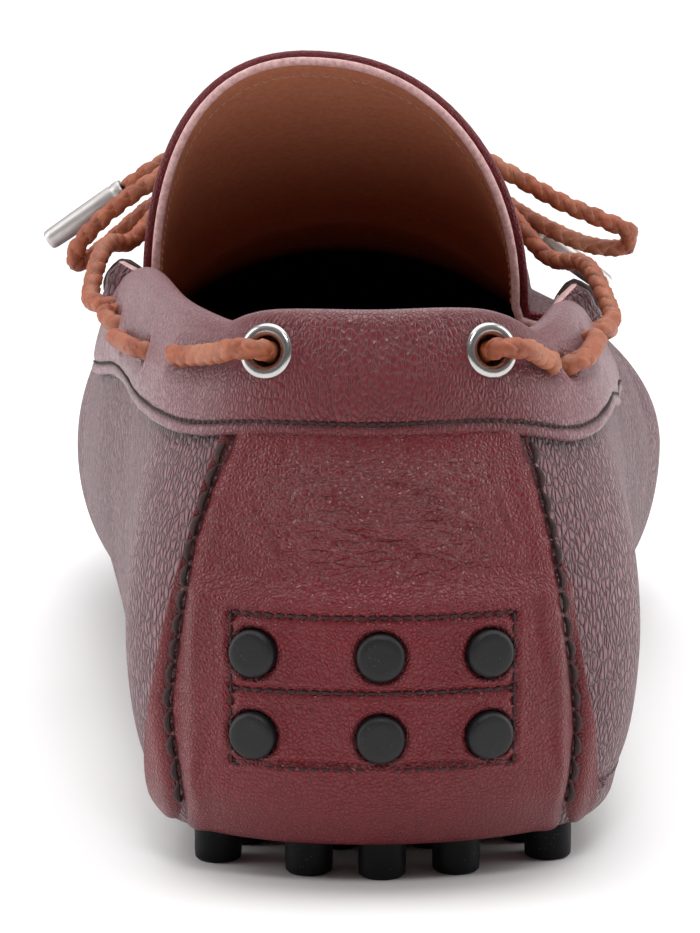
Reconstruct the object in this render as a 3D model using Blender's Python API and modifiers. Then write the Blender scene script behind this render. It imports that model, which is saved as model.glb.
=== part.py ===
"""Driving moccasin, right shoe.

The wall of the upper, its collar band, the leather sole with its heel tab and the insole all come
from one function, wall(), which reads the form of the last from a short table of stations.
Metres, +Z up, heel towards -Y, toe towards +Y, lateral side towards +X.
The origin is on the floor, under the middle stud of the heel.
"""

import math

import bmesh
import bpy
import numpy as np
from mathutils import Matrix, Vector

# Driving sizes of the last.
LENGTH = 0.275
BALL_WIDTH = 0.097
HEEL_WIDTH = 0.068
COLLAR_HEIGHT = 0.077
TONGUE_HEIGHT = 0.102
TOE_SPRING = 0.008
ARCH_RISE = 0.006

# Leather, rubber and lace.
WALL = 0.0022
SOLE_LEATHER = 0.0018
BAND_LEATHER = 0.0012
STUD_PLATE = 0.0014
INSOLE = 0.0025
CLEARANCE = 0.0003
FLANGE = 0.0022
LIP_WIDTH = 0.0055
BAND_DROP = 0.0165
SOLE_TURN_UP = 0.0024
TONGUE_LEATHER = 0.0026
LACE_DIAMETER = 0.0032
LACE_DROP = 0.0058

# Studs.
STUD_RADIUS = 0.0032
STUD_HEIGHT = 0.0055
STUD_SIDES = 8
BACK_STUD_STAND = 0.0012
BACK_STUD_HEIGHTS = (0.0222, 0.0327)
BACK_STUD_PLACES = (-0.0150, 0.0000, 0.0131)
BACK_PLATE_HEIGHTS = (0.0160, 0.0375)
BACK_PLATE_HALF = 0.0200
BACK_PLATE_MARGIN = 0.0015
BACK_PLATE_RAMP = 0.0040

# Eyelets and the holes that the lace dips into.
EYELET_HOLE = 0.0027
EYELET_RADIUS = 0.0037
EYELET_FLANGE = 0.0006
EYELET_BORE = 0.0020

# Knot, bow and the metal tips of the lace.
KNOT_RADIUS = 0.0036
KNOT_TURNS = 1.35
TIP_RADIUS = 0.0018
TIP_LENGTH = 0.0150

# The leather of the sole lies under the flange of the upper.
UNDERSIDE = STUD_HEIGHT + SOLE_LEATHER + CLEARANCE

# Stations from the heel to the toe. Lengths are shares of the sizes above:
# along of LENGTH; lateral and medial of the local width; belly, top_lat and top_med of COLLAR_HEIGHT;
# the insets foot_* and top_* of HEEL_WIDTH. turn is how far the wall has leaned in at its top, in degrees.
COLUMNS = ("along", "lateral", "medial", "belly", "foot_in_lat", "foot_in_med",
           "top_in_lat", "top_in_med", "top_lat", "top_med", "turn")
STATIONS = (
    (0.000, 0.000, 0.000, 0.350, 0.080, 0.080, 0.074, 0.074, 1.000, 1.000, 30),
    (0.013, 0.254, 0.246, 0.350, 0.080, 0.080, 0.112, 0.108, 0.990, 0.992, 30),
    (0.049, 0.446, 0.420, 0.350, 0.080, 0.080, 0.188, 0.182, 0.938, 0.955, 31),
    (0.105, 0.535, 0.485, 0.360, 0.082, 0.085, 0.185, 0.158, 0.940, 0.955, 33),
    (0.189, 0.560, 0.494, 0.395, 0.100, 0.125, 0.158, 0.096, 0.925, 0.952, 34),
    (0.291, 0.550, 0.498, 0.440, 0.135, 0.190, 0.126, 0.082, 0.868, 0.942, 36),
    (0.400, 0.506, 0.472, 0.475, 0.165, 0.250, 0.140, 0.100, 0.815, 0.880, 42),
    (0.516, 0.517, 0.440, 0.445, 0.176, 0.245, 0.205, 0.140, 0.765, 0.820, 48),
    (0.618, 0.545, 0.436, 0.390, 0.162, 0.205, 0.250, 0.160, 0.690, 0.720, 52),
    (0.713, 0.550, 0.442, 0.350, 0.147, 0.175, 0.250, 0.170, 0.610, 0.625, 56),
    (0.804, 0.500, 0.418, 0.330, 0.147, 0.155, 0.240, 0.180, 0.545, 0.550, 60),
    (0.889, 0.395, 0.342, 0.325, 0.155, 0.160, 0.228, 0.200, 0.495, 0.497, 63),
    (0.958, 0.255, 0.218, 0.325, 0.165, 0.165, 0.218, 0.210, 0.470, 0.470, 66),
    (0.991, 0.132, 0.098, 0.325, 0.170, 0.170, 0.212, 0.212, 0.458, 0.458, 68),
    (1.000, 0.018, -0.018, 0.325, 0.170, 0.170, 0.212, 0.212, 0.455, 0.455, 68),
)
TOE = len(STATIONS) - 1
AROUND = 2 * TOE
WAIST_SPAN = (0.20, 0.60)

# Positions round the ring, in stations. The collar band ends at the throat, the raised seam starts
# there, and the heel tab narrows from its foot to its top.
THROAT = 6.15
SEAM_RAMP = 1.50
SEAM_START = THROAT
SEAM_FULL = 6.30
TAB_SAMPLES = 6
TAB_FOOT = 2.50
TAB_TOP = 1.45
TAB_FOOT_LATERAL = TAB_FOOT * (TAB_SAMPLES - 1) / TAB_SAMPLES
TAB_TOP_LATERAL = 1.30
TAB_GAP = 0.0006

# The apron from the toe back to the free edge of the tongue: how high its middle stands over its
# edges, of TONGUE_HEIGHT; how far its middle lies behind its edges, of LENGTH; how far it has risen
# from a shallow dome into an arch, 0 to 1; and how far that arch leans sideways, of its half width.
APRON_COLUMNS = ("station", "crown", "bow", "arch", "sway")
APRON = (
    (14.00, 0.000, 0.000, 0.00, 0.00),
    (13.00, 0.004, 0.000, 0.00, 0.00),
    (12.00, 0.030, 0.000, 0.00, 0.00),
    (11.00, 0.062, 0.000, 0.00, 0.00),
    (10.00, 0.088, 0.000, 0.00, 0.00),
    (9.00, 0.115, 0.000, 0.05, -0.01),
    (8.00, 0.155, 0.004, 0.20, -0.03),
    (7.00, 0.242, 0.022, 0.62, -0.10),
    (6.30, 0.390, 0.062, 1.00, -0.16),
)
APRON_EDGE = 0.50

# The arch on its medial and lateral side: how much of the half width it takes, and how fast it runs out
# and drops; under 1 is fuller at the shoulder than a half circle.
ARCH_HALF = (0.92, 0.845)
ARCH_FULL = (0.94, 0.855)
ARCH_DROP = 0.945
ARCH_PART = 0.80

# Rows of studs under the sole: along of LENGTH, how many, the share of the sole's width that they
# span, and how far the row's ends lie ahead of its middle, of LENGTH.
STUD_COLUMNS = ("along", "count", "reach", "bow")
HEEL_STUDS = (
    (0.036, 5, 0.81, 0.036),
    (0.095, 4, 0.66, 0.012),
    (0.143, 5, 0.84, 0.004),
    (0.190, 4, 0.64, 0.000),
    (0.240, 5, 0.86, -0.004),
)
BALL_STUDS = (
    (0.548, 4, 0.64, 0.006),
    (0.604, 5, 0.76, 0.004),
    (0.660, 5, 0.80, 0.000),
    (0.716, 5, 0.80, 0.000),
    (0.772, 5, 0.78, -0.006),
    (0.828, 4, 0.66, -0.010),
)
HEEL_PLATE = (0.00, 4.80)
BALL_PLATE = (6.60, 12.00)

# The lace shows between these distances from the middle of the heel, measured along its line.
RUNS_LATERAL = ((0.0153, 0.0295), (0.0350, 0.0520), (0.0800, 0.0980))
RUNS_MEDIAL = ((0.0150, 0.0378), (0.0575, 0.0840), (0.0940, 0.1050))
EXIT = 0.1130

# How far the lace lies below the collar's edge, in LACE_DROP, at distances along its line.
LACE_LINE_COLUMNS = ("distance", "lateral", "medial")
LACE_LINE = (
    (0.015, 1.00, 1.00),
    (0.038, 1.20, 1.26),
    (0.055, 1.00, 1.46),
    (0.084, 0.95, 1.80),
    (0.113, 1.00, 1.10),
)

# A lace's end at a slit, at the eyelet and at the last hole: distances along its line, and how far it is
# there above its full height on the band, or over the eyelet's ring.
SLIT_BEND = ((0.0000, -0.0018), (0.0014, -0.0006), (0.0030, 0.0000), (0.0052, 0.0000))
EYELET_BEND = ((0.0000, -0.0042), (0.0000, -0.0013), (0.0003, 0.0000), (0.0019, 0.0009),
               (0.0044, 0.0010), (0.0074, -0.0004))
EXIT_BEND = ((0.0000, -0.0018), (0.0016, -0.0004), (0.0034, 0.0006))
BAR_STEP = 0.0022
CORD_STEP = 0.0055
LOOP_STEP = 0.0075

# How the front of the lace climbs to the knot: first over the wall (station, rise, metres out of it),
# then over the apron (station, share from its middle to its edge, metres out of it).
CLIMB_WALL = ((6.08, 0.80, 0.0050), (6.36, 0.96, 0.0062), (6.60, 1.04, 0.0062))
CLIMB_APRON = ((6.86, 0.72, 0.0040), (7.02, 0.50, 0.0027), (7.16, 0.26, 0.0024))
KNOT_STATION = 7.25
KNOT_STAND = 0.0094

# The bow, chosen by hand: distances from the knot sideways, ahead and up, of BALL_WIDTH.
LOOP_LAT = ((0.048, -0.022, 0.018), (0.140, -0.014, -0.018), (0.230, -0.006, -0.082),
            (0.298, 0.000, -0.122), (0.368, 0.006, -0.162), (0.436, 0.014, -0.192),
            (0.482, 0.024, -0.214), (0.478, 0.036, -0.239), (0.425, 0.042, -0.239),
            (0.360, 0.040, -0.214), (0.278, 0.036, -0.166), (0.180, 0.026, -0.080),
            (0.100, 0.018, -0.012), (0.050, 0.018, 0.018))
LOOP_MED = ((-0.048, -0.022, 0.018), (-0.130, -0.014, -0.016), (-0.215, -0.008, -0.072),
            (-0.295, 0.000, -0.120), (-0.370, 0.008, -0.174), (-0.424, 0.020, -0.234),
            (-0.424, 0.036, -0.264), (-0.380, 0.046, -0.236), (-0.300, 0.042, -0.168),
            (-0.210, 0.034, -0.112), (-0.130, 0.022, -0.044), (-0.085, 0.018, -0.004),
            (-0.050, 0.018, 0.018))
END_LAT = ((0.050, 0.000, -0.024), (0.074, 0.030, -0.041), (0.128, 0.066, -0.076),
           (0.192, 0.084, -0.120), (0.258, 0.090, -0.168), (0.325, 0.095, -0.218))
END_MED = ((-0.050, 0.000, -0.024), (-0.074, 0.030, -0.038), (-0.135, 0.064, -0.056),
           (-0.210, 0.082, -0.076), (-0.285, 0.092, -0.105), (-0.345, 0.102, -0.147))

BURGUNDY = (0.110, 0.020, 0.028)
PLUM = (0.150, 0.062, 0.080)
LINING = (0.520, 0.330, 0.250)
RUBBER = (0.022, 0.023, 0.026)
TAN = (0.420, 0.160, 0.065)
STEEL = (0.620, 0.610, 0.600)


def column(name):
    return np.array([row[COLUMNS.index(name)] for row in STATIONS])


def smooth(share):
    share = np.clip(share, 0.0, 1.0)
    return share * share * (3 - 2 * share)


def closed_spline(knots):
    """A cubic curve through values that are one step apart on a closed ring: (value, slope) at a position."""
    knots = np.asarray(knots, float)
    count = len(knots)
    bend = 4 * np.eye(count) + np.roll(np.eye(count), 1, 0) + np.roll(np.eye(count), -1, 0)
    curve = np.linalg.solve(bend, 6 * (np.roll(knots, -1) - 2 * knots + np.roll(knots, 1)))

    def read(at):
        at = np.mod(np.asarray(at, float), count)
        low = np.floor(at).astype(int) % count
        high = (low + 1) % count
        part = at - np.floor(at)
        rest = 1 - part
        value = (curve[low] * rest**3 + curve[high] * part**3) / 6
        value = value + (knots[low] - curve[low] / 6) * rest + (knots[high] - curve[high] / 6) * part
        slope = (curve[high] * part**2 - curve[low] * rest**2) / 2
        slope = slope + knots[high] - curve[high] / 6 - knots[low] + curve[low] / 6
        return value, slope

    return read


def around(lateral, medial):
    """One column's values in order round the ring: heel, lateral side, toe, medial side."""
    return closed_spline(np.concatenate([lateral, medial[TOE - 1 : 0 : -1]]))


def local_width(along):
    share = smooth((along - WAIST_SPAN[0]) / (WAIST_SPAN[1] - WAIST_SPAN[0]))
    return HEEL_WIDTH + (BALL_WIDTH - HEEL_WIDTH) * share


def foot_height(along, medial_share):
    """How high the upper's underside lies: flat at heel and ball, lifted at the arch and the toe."""
    toe = TOE_SPRING * np.clip((along - 0.70) / 0.30, 0, None) ** 1.6
    arch = np.exp(-(((along - 0.40) / 0.105) ** 2)) * ARCH_RISE * (0.35 + 0.65 * medial_share)
    return UNDERSIDE + toe + arch


along = column("along")
width = local_width(along)
FORM = {
    "x": around(column("lateral") * width, -column("medial") * width),
    "y": around(along * LENGTH, along * LENGTH),
    "belly": around(column("belly") * COLLAR_HEIGHT, column("belly") * COLLAR_HEIGHT),
    "foot": around(foot_height(along, 0.0), foot_height(along, 1.0)),
    "foot_in": around(column("foot_in_lat") * HEEL_WIDTH, column("foot_in_med") * HEEL_WIDTH),
    "top_in": around(column("top_in_lat") * HEEL_WIDTH, column("top_in_med") * HEEL_WIDTH),
    "top": around(column("top_lat") * COLLAR_HEIGHT, column("top_med") * COLLAR_HEIGHT),
    "turn": around(np.radians(column("turn")), np.radians(column("turn"))),
}
HEEL_TO_ORIGIN = HEEL_STUDS[0][0] * LENGTH
MEDIAL = -1
LATERAL = 1
RUNS = {LATERAL: RUNS_LATERAL, MEDIAL: RUNS_MEDIAL}


def wall(at, rise, out=0.0):
    """A point of the upper's outer face, moved outwards by out, and the way out of the face there.

    at is the position round the ring in stations: 0 heel, TOE toe, lateral side between them.
    rise is -1 at the feather edge, 0 at the widest line and 1 at the top; below -1 is the flange.
    """
    at, rise = np.broadcast_arrays(np.asarray(at, float), np.asarray(rise, float))
    (x, dx), (y, dy) = FORM["x"](at), FORM["y"](at)
    speed = np.hypot(dx, dy)
    nx, ny = dy / speed, -dx / speed
    belly, foot, foot_in = FORM["belly"](at)[0], FORM["foot"](at)[0], FORM["foot_in"](at)[0]
    top_in, top, turn = FORM["top_in"](at)[0], FORM["top"](at)[0], FORM["turn"](at)[0]
    low = np.radians(90) * np.clip(1 + rise, 0, 1)
    high = turn * np.clip(rise, 0, None)
    below = rise < 0
    inset = np.where(below, foot_in * (1 - np.sin(low)), top_in * (1 - np.cos(high)) / (1 - np.cos(turn)))
    inset = inset + FLANGE * np.clip(-1 - rise, 0, None)
    height = np.where(below, foot + (belly - foot) * (1 - np.cos(low)),
                      belly + (top - belly) * np.sin(high) / np.sin(turn))
    side = np.where(below, (belly - foot) * np.sin(low), (top - belly) * np.cos(high) / np.sin(turn))
    up = np.where(below, -foot_in * np.cos(low), top_in * np.sin(high) / (1 - np.cos(turn)))
    size = np.hypot(side, up)
    way = np.stack([nx * side / size, ny * side / size, up / size], -1)
    point = np.stack([x - nx * inset, y - ny * inset - HEEL_TO_ORIGIN, height], -1)
    return point + way * np.asarray(out)[..., None], way


def rise_below_top(at, drop):
    """The rise whose distance below the top edge, along the wall, is drop."""
    rises = np.linspace(-1.0, 1.0, 161)
    found = []
    for place, wanted in zip(np.atleast_1d(at), np.broadcast_to(drop, np.shape(np.atleast_1d(at)))):
        points = wall(np.full(len(rises), place), rises)[0]
        steps = np.linalg.norm(np.diff(points, axis=0), axis=1)
        from_top = np.concatenate([np.cumsum(steps[::-1])[::-1], [0.0]])
        found.append(np.interp(-wanted, -from_top, rises))
    return np.array(found)


def rise_at_height(at, height):
    """The rise at which the wall is this high above the floor."""
    belly, foot = FORM["belly"](at)[0], FORM["foot"](at)[0]
    top, turn = FORM["top"](at)[0], FORM["turn"](at)[0]
    low = np.arccos(np.clip(1 - (height - foot) / (belly - foot), 0, 1)) / np.radians(90) - 1
    high = np.arcsin(np.clip((height - belly) * np.sin(turn) / (top - belly), 0, np.sin(turn))) / turn
    return np.where(height < belly, low, high)


def turn_up_rise(at):
    """The rise at which the turned-up edge of the sole ends."""
    return rise_at_height(at, FORM["foot"](at)[0] + SOLE_TURN_UP)


def half_ring():
    """Sample positions from heel to toe, with one at the heel tab's corner and at the seam's start."""
    return np.concatenate([
        np.linspace(0, TAB_FOOT, TAB_SAMPLES + 1),
        np.linspace(TAB_FOOT, SEAM_START, 7)[1:],
        np.linspace(SEAM_FULL, TOE, 14),
    ])


def full_ring():
    half = half_ring()
    return np.concatenate([half, AROUND - half[-2:0:-1]])


def seam_lift(at, rise):
    """How far the wall stands out where it laps over the apron: a step at the seam, none at the collar."""
    at, rise = np.broadcast_arrays(np.asarray(at, float), np.asarray(rise, float))
    start = rise_below_top(at.ravel(), SEAM_RAMP * LIP_WIDTH).reshape(at.shape)
    full = rise_below_top(at.ravel(), LIP_WIDTH).reshape(at.shape)
    share = np.clip((rise - start) / (full - start), 0, 1)
    from_heel = np.minimum(np.mod(at, AROUND), AROUND - np.mod(at, AROUND))
    return (TONGUE_LEATHER + 2 * CLEARANCE) * share * smooth((from_heel - SEAM_START) / (SEAM_FULL - SEAM_START))


def apron_rows(stations, shares):
    """Points of the apron's outer face: a row for each station, from its medial edge to its lateral edge."""
    listed = np.array(APRON)[::-1]
    crown, bow, arch, sway = (np.interp(stations, listed[:, 0], listed[:, k]) for k in (1, 2, 3, 4))
    turn = np.radians(90) * np.clip(shares / ARCH_PART, -1, 1)
    beyond = np.sign(shares) * np.clip(np.abs(shares) - ARCH_PART, 0, 1) / (1 - ARCH_PART)
    reach, shoulder = (np.where(shares < 0, *pair) for pair in (ARCH_HALF, ARCH_FULL))
    arch_out = reach * np.sign(turn) * np.abs(np.sin(turn)) ** shoulder + (1 - reach) * beyond
    arch_up = np.clip(np.cos(turn), 0, 1) ** ARCH_DROP
    rows = []
    for place, high, back, rounded, lean in zip(stations, crown, bow, arch, sway):
        ring = np.array([AROUND - place, place])
        edges, ways = wall(ring, rise_below_top(ring, APRON_EDGE * LIP_WIDTH))
        edges = edges - ways * CLEARANCE
        half = np.linalg.norm(edges[1] - edges[0]) / 2
        tilt = np.arctan2(ways[:, 2], np.hypot(ways[:, 0], ways[:, 1]))
        slope = np.tan(np.radians(90) - tilt.mean())
        full = np.clip(slope * half / (2 * max(high * TONGUE_HEIGHT, 1e-4)) - 1, -0.2, 1.0)
        dome_up = (1 - shares**2) * (1 + full * shares**2)
        out = rounded * arch_out + (1 - rounded) * shares
        up = rounded * arch_up + (1 - rounded) * dome_up
        out = out + lean * (1 - out**2)
        row = edges[0] + (edges[1] - edges[0]) * (out[:, None] + 1) / 2
        rows.append(row + np.stack([0 * up, -back * LENGTH * up, high * TONGUE_HEIGHT * up], -1))
    return np.array(rows)


def apron_point(station, share, out):
    """A point over the apron's outer face; share runs from -1 at the medial edge to 1 at the lateral edge."""
    step = 0.05
    (behind, here, ahead) = apron_rows(np.array([station - step, station, station + step]),
                                       np.array([share - step, share, share + step]))
    way = np.cross(here[2] - here[0], ahead[1] - behind[1])
    way = way / np.linalg.norm(way)
    return here[1] + way * (out if way[2] > 0 else -out)


def lace_line(distances, side, outs):
    """Points along the line of the lace at these distances from the middle of the heel."""
    at = np.linspace(0, THROAT, 61) * side
    line = wall(at, rise_below_top(at, LACE_DROP), BAND_LEATHER)[0]
    far = np.concatenate([[0.0], np.cumsum(np.linalg.norm(np.diff(line, axis=0), axis=1))])
    places = np.interp(distances, far, at * side) * side
    listed, lateral, medial = np.array(LACE_LINE).T
    drop = LACE_DROP * np.interp(distances, listed, lateral if side == LATERAL else medial)
    return wall(places, rise_below_top(places, drop), outs)


def across(station):
    """The two feather edges of the sole at a station, medial then lateral."""
    return wall(np.array([AROUND - station, station]), -1.0)[0]


def sole_rows(stations, shares, height):
    """Rows across the foot between the feather edges, height above the underside."""
    rows = []
    for place in stations:
        edges = across(place)
        row = edges[0] + (edges[1] - edges[0]) * (np.asarray(shares)[:, None] + 1) / 2
        rows.append(row + np.array([0, 0, height]))
    return np.array(rows)


def floor_rows(stations, shares, height):
    """Rows across the inside of the upper, from wall to wall, height above the underside."""
    rises = np.linspace(-1.0, 0.0, 41)
    rows = []
    for place in stations:
        edges = []
        for at in (AROUND - place, place):
            level = FORM["foot"](at)[0] + height
            inner = wall(at, rises, -(WALL + 7 * CLEARANCE))[0]
            edges.append([np.interp(level, inner[:, 2], inner[:, k]) for k in (0, 1)] + [level])
        edges = np.array(edges)
        rows.append(edges[0] + (edges[1] - edges[0]) * (np.asarray(shares)[:, None] + 1) / 2)
    return np.array(rows)


def stud_spots(table):
    """Where the studs stand on the underside of the foot."""
    reading = np.linspace(0, TOE, 141)
    ahead = FORM["y"](reading)[0] / LENGTH
    spots = []
    for along_share, count, reach, bow in table:
        for side in np.linspace(-1, 1, count):
            station = np.interp(along_share + bow * side * side, ahead, reading)
            medial, lateral = across(station)
            middle, half = (medial + lateral) / 2, (lateral - medial) / 2
            spot = middle + half * side * reach
            spot[1] = (along_share + bow * side * side) * LENGTH - HEEL_TO_ORIGIN
            spots.append(spot)
    return spots


def back_spots():
    """Where the studs stand on the back of the heel, and the way they point."""
    at = np.linspace(-2.6, 2.6, 105)
    spots = []
    for height in BACK_STUD_HEIGHTS:
        x = wall(at, rise_at_height(at, height))[0][:, 0]
        for across_heel in BACK_STUD_PLACES:
            place = np.interp(across_heel, x, at)
            point, way = wall(place, rise_at_height(place, height))
            spots.append((point, way))
    return spots


def tab_lift(at, rise):
    """How far the heel tab stands off the upper, to make room for the rubber behind it."""
    point = wall(at, rise)[0]
    low, high = BACK_PLATE_HEIGHTS
    half = BACK_PLATE_HALF + BACK_PLATE_MARGIN
    foot = FORM["foot"](at)[0]
    up = smooth((point[..., 2] - foot) / (low - BACK_PLATE_MARGIN / 2 - foot))
    down = smooth((high + BACK_PLATE_MARGIN + BACK_PLATE_RAMP - point[..., 2]) / BACK_PLATE_RAMP)
    side = smooth((half + BACK_PLATE_RAMP - np.abs(point[..., 0])) / BACK_PLATE_RAMP)
    behind = np.abs(np.mod(at + TOE, AROUND) - TOE) < TAB_FOOT + 0.01
    return (STUD_PLATE + 2 * CLEARANCE) * up * down * side * behind


def clear_scene():

    for obj in list(bpy.data.objects):
        bpy.data.objects.remove(obj)


def collection(name):
    made = bpy.data.collections.new(name)
    bpy.context.scene.collection.children.link(made)
    return made


def material(name, color, roughness, metallic=0.0):
    made = bpy.data.materials.new(name)
    made.use_nodes = True
    shader = made.node_tree.nodes["Principled BSDF"]
    shader.inputs["Base Color"].default_value = (*color, 1.0)
    shader.inputs["Roughness"].default_value = roughness
    shader.inputs["Metallic"].default_value = metallic
    return made


def add_object(name, mesh, finish, group):
    obj = bpy.data.objects.new(name, mesh)
    group.objects.link(obj)
    if finish is not None:
        mesh.materials.append(finish)
    return obj


def add_cutter(name, mesh, cutters):
    obj = add_object(name, mesh, None, cutters)
    obj.hide_render = True
    obj.display_type = "WIRE"
    return obj


def mesh_from(name, points, faces):
    mesh = bpy.data.meshes.new(name)
    mesh.from_pydata([tuple(p) for p in points], [], faces)
    mesh.validate()
    work = bmesh.new()
    work.from_mesh(mesh)
    bmesh.ops.remove_doubles(work, verts=work.verts, dist=1e-6)
    bmesh.ops.recalc_face_normals(work, faces=work.faces)
    work.to_mesh(mesh)
    work.free()
    mesh.shade_smooth()
    mesh.set_sharp_from_angle(angle=math.radians(40))
    return mesh


def loft(name, rows, closed=False):
    """A surface through rows of points that all have the same length."""
    rows = np.asarray(rows)
    count, length = rows.shape[:2]
    last = length if closed else length - 1
    faces = [(r * length + c, r * length + (c + 1) % length, (r + 1) * length + (c + 1) % length,
              (r + 1) * length + c) for r in range(count - 1) for c in range(last)]
    return mesh_from(name, rows.reshape(-1, 3), faces)


def face_outwards(mesh, inside):
    """Turns an open surface so that its faces look away from a point inside the shoe."""
    votes = sum((p.center - Vector(inside)).dot(p.normal) * p.area for p in mesh.polygons)
    if votes < 0:
        mesh.flip_normals()


def thicken(obj, thickness, side):
    """Solidify: side 1 adds the thickness outside the surface, -1 inside it."""
    shell = obj.modifiers.new("thickness", "SOLIDIFY")
    shell.thickness = thickness
    shell.offset = side
    shell.use_even_offset = True
    shell.use_quality_normals = True
    return shell


def cut(obj, group):
    """Takes everything in a collection of cutters away from an object."""
    knife = obj.modifiers.new("cut " + group.name, "BOOLEAN")
    knife.operation = "DIFFERENCE"
    knife.operand_type = "COLLECTION"
    knife.collection = group
    knife.solver = "EXACT"


def pin_mesh(name, radius, length, sides, tip_radius=None):
    """A round pin along +Z from the origin."""
    mesh = bpy.data.meshes.new(name)
    work = bmesh.new()
    bmesh.ops.create_cone(work, cap_ends=True, segments=sides, radius1=radius,
                          radius2=radius if tip_radius is None else tip_radius, depth=length)
    bmesh.ops.translate(work, verts=work.verts, vec=(0, 0, length / 2))
    work.to_mesh(mesh)
    work.free()
    return mesh


def aim(point, way):
    """The matrix that puts +Z along way at point."""
    return Matrix.Translation(Vector(point)) @ Vector(way).to_track_quat("Z", "Y").to_matrix().to_4x4()


INSIDE = (0.0, 0.35 * LENGTH, 0.45 * COLLAR_HEIGHT)


def slab(name, lower, upper):
    """A closed solid between two grids of points that have the same shape."""
    count, length = lower.shape[:2]
    size = count * length
    faces = []
    for base in (0, size):
        for r in range(count - 1):
            for c in range(length - 1):
                k = base + r * length + c
                faces.append((k, k + 1, k + length + 1, k + length))
    rim = [(r, 0) for r in range(count)] + [(count - 1, c) for c in range(1, length)]
    rim += [(r, length - 1) for r in range(count - 2, -1, -1)] + [(0, c) for c in range(length - 2, 0, -1)]
    rim = [r * length + c for r, c in rim]
    for one, two in zip(rim, rim[1:] + rim[:1]):
        faces.append((one, two, two + size, one + size))
    return mesh_from(name, np.concatenate([lower.reshape(-1, 3), upper.reshape(-1, 3)]), faces)


def smooth_path(points, step):
    """A smooth curve through the points, sampled about every step."""
    points = np.asarray(points, float)
    padded = np.concatenate([[2 * points[0] - points[1]], points, [2 * points[-1] - points[-2]]])
    path = []
    for k in range(1, len(padded) - 2):
        p0, p1, p2, p3 = padded[k - 1 : k + 3]
        count = max(1, round(float(np.linalg.norm(p2 - p1)) / step))
        for u in np.arange(count) / count:
            path.append(0.5 * (2 * p1 + (p2 - p0) * u + (2 * p0 - 5 * p1 + 4 * p2 - p3) * u**2
                               + (3 * p1 - p0 - 3 * p2 + p3) * u**3))
    path.append(points[-1])
    return np.array(path)


def cord(name, path, radius, finish, group):
    """A round cord along a path."""
    curve = bpy.data.curves.new(name, "CURVE")
    curve.dimensions = "3D"
    curve.bevel_depth = radius
    curve.bevel_resolution = 1
    curve.use_fill_caps = True
    spline = curve.splines.new("POLY")
    spline.points.add(len(path) - 1)
    for point, place in zip(spline.points, path):
        point.co = (*place, 1.0)
    obj = bpy.data.objects.new(name, curve)
    group.objects.link(obj)
    if finish is not None:
        curve.materials.append(finish)
    return obj


def longer(path, extra):
    """The path drawn out straight at both ends."""
    first, last = path[0] - path[1], path[-1] - path[-2]
    first, last = first / np.linalg.norm(first), last / np.linalg.norm(last)
    return np.concatenate([[path[0] + first * extra], path[1:-1], [path[-1] + last * extra]])


def cord_cutter(name, path, radius, group):
    """The same cord a little longer and as a mesh, for cutting."""
    path = longer(path, 2 * CLEARANCE)
    made = cord(name, path, radius, None, group)
    bpy.context.view_layer.update()
    mesh = bpy.data.meshes.new_from_object(made.evaluated_get(bpy.context.evaluated_depsgraph_get()))
    curve = made.data
    bpy.data.objects.remove(made)
    bpy.data.curves.remove(curve)
    work = bmesh.new()
    work.from_mesh(mesh)
    bmesh.ops.remove_doubles(work, verts=work.verts, dist=1e-6)
    bmesh.ops.recalc_face_normals(work, faces=work.faces)
    work.to_mesh(mesh)
    work.free()
    return add_cutter(name, mesh, group)


def pin(name, point, way, start, end, radius, sides, group):
    """A round cutter or stud along way, from start to end as measured from point."""
    mesh = pin_mesh(name, radius, end - start, sides)
    mesh.transform(aim(Vector(point) + Vector(way) * start, way))
    return add_cutter(name, mesh, group)


def make_upper(finish, group, holes):
    """The wall of the moccasin: one hollow ring, open at the collar, over the foot and underneath."""
    ring = full_ring()
    step = rise_below_top(ring, SEAM_RAMP * LIP_WIDTH)
    lap = rise_below_top(ring, LIP_WIDTH)
    turned = turn_up_rise(ring)
    rises = [np.full(len(ring), -2.0), np.full(len(ring), -1.0), -1 + (turned + 1) / 2, turned,
             turned / 2, np.zeros(len(ring))]
    rises += [0.5 * step, step, lap, np.ones(len(ring))]
    mesh = loft("upper", [wall(ring, rise, seam_lift(ring, rise))[0] for rise in rises], closed=True)
    face_outwards(mesh, INSIDE)
    obj = add_object("upper", mesh, finish, group)
    thicken(obj, WALL, -1)
    for group_of_holes in holes:
        cut(obj, group_of_holes)


def make_apron(finish, group):
    """The plug over the forefoot, sewn under the wall's lip, which runs back into the tongue."""
    half = half_ring()
    stations = half[half >= SEAM_FULL][::-1]
    shares = np.sin(np.linspace(-1, 1, 13) * np.radians(80)) / np.sin(np.radians(80))
    mesh = loft("apron", apron_rows(stations, shares))
    face_outwards(mesh, (0.0, 0.6 * LENGTH, 0.3 * COLLAR_HEIGHT))
    obj = add_object("apron", mesh, finish, group)
    thicken(obj, TONGUE_LEATHER, -1)


def make_collar_band(finish, group, holes):
    """The strip sewn round the outside of the collar, from throat to throat."""
    half = half_ring()
    ahead = np.append(half[half < THROAT - 0.1], THROAT)
    ring = np.concatenate([-ahead[:0:-1], ahead])
    rows = []
    for drop in (BAND_DROP, SEAM_RAMP * LIP_WIDTH, LIP_WIDTH, 0.0):
        rise = rise_below_top(ring, drop)
        rows.append(wall(ring, rise, 1.5 * CLEARANCE)[0])
    mesh = loft("collar_band", rows)
    face_outwards(mesh, INSIDE)
    obj = add_object("collar_band", mesh, finish, group)
    thicken(obj, BAND_LEATHER, 1)
    cut(obj, holes)


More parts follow.
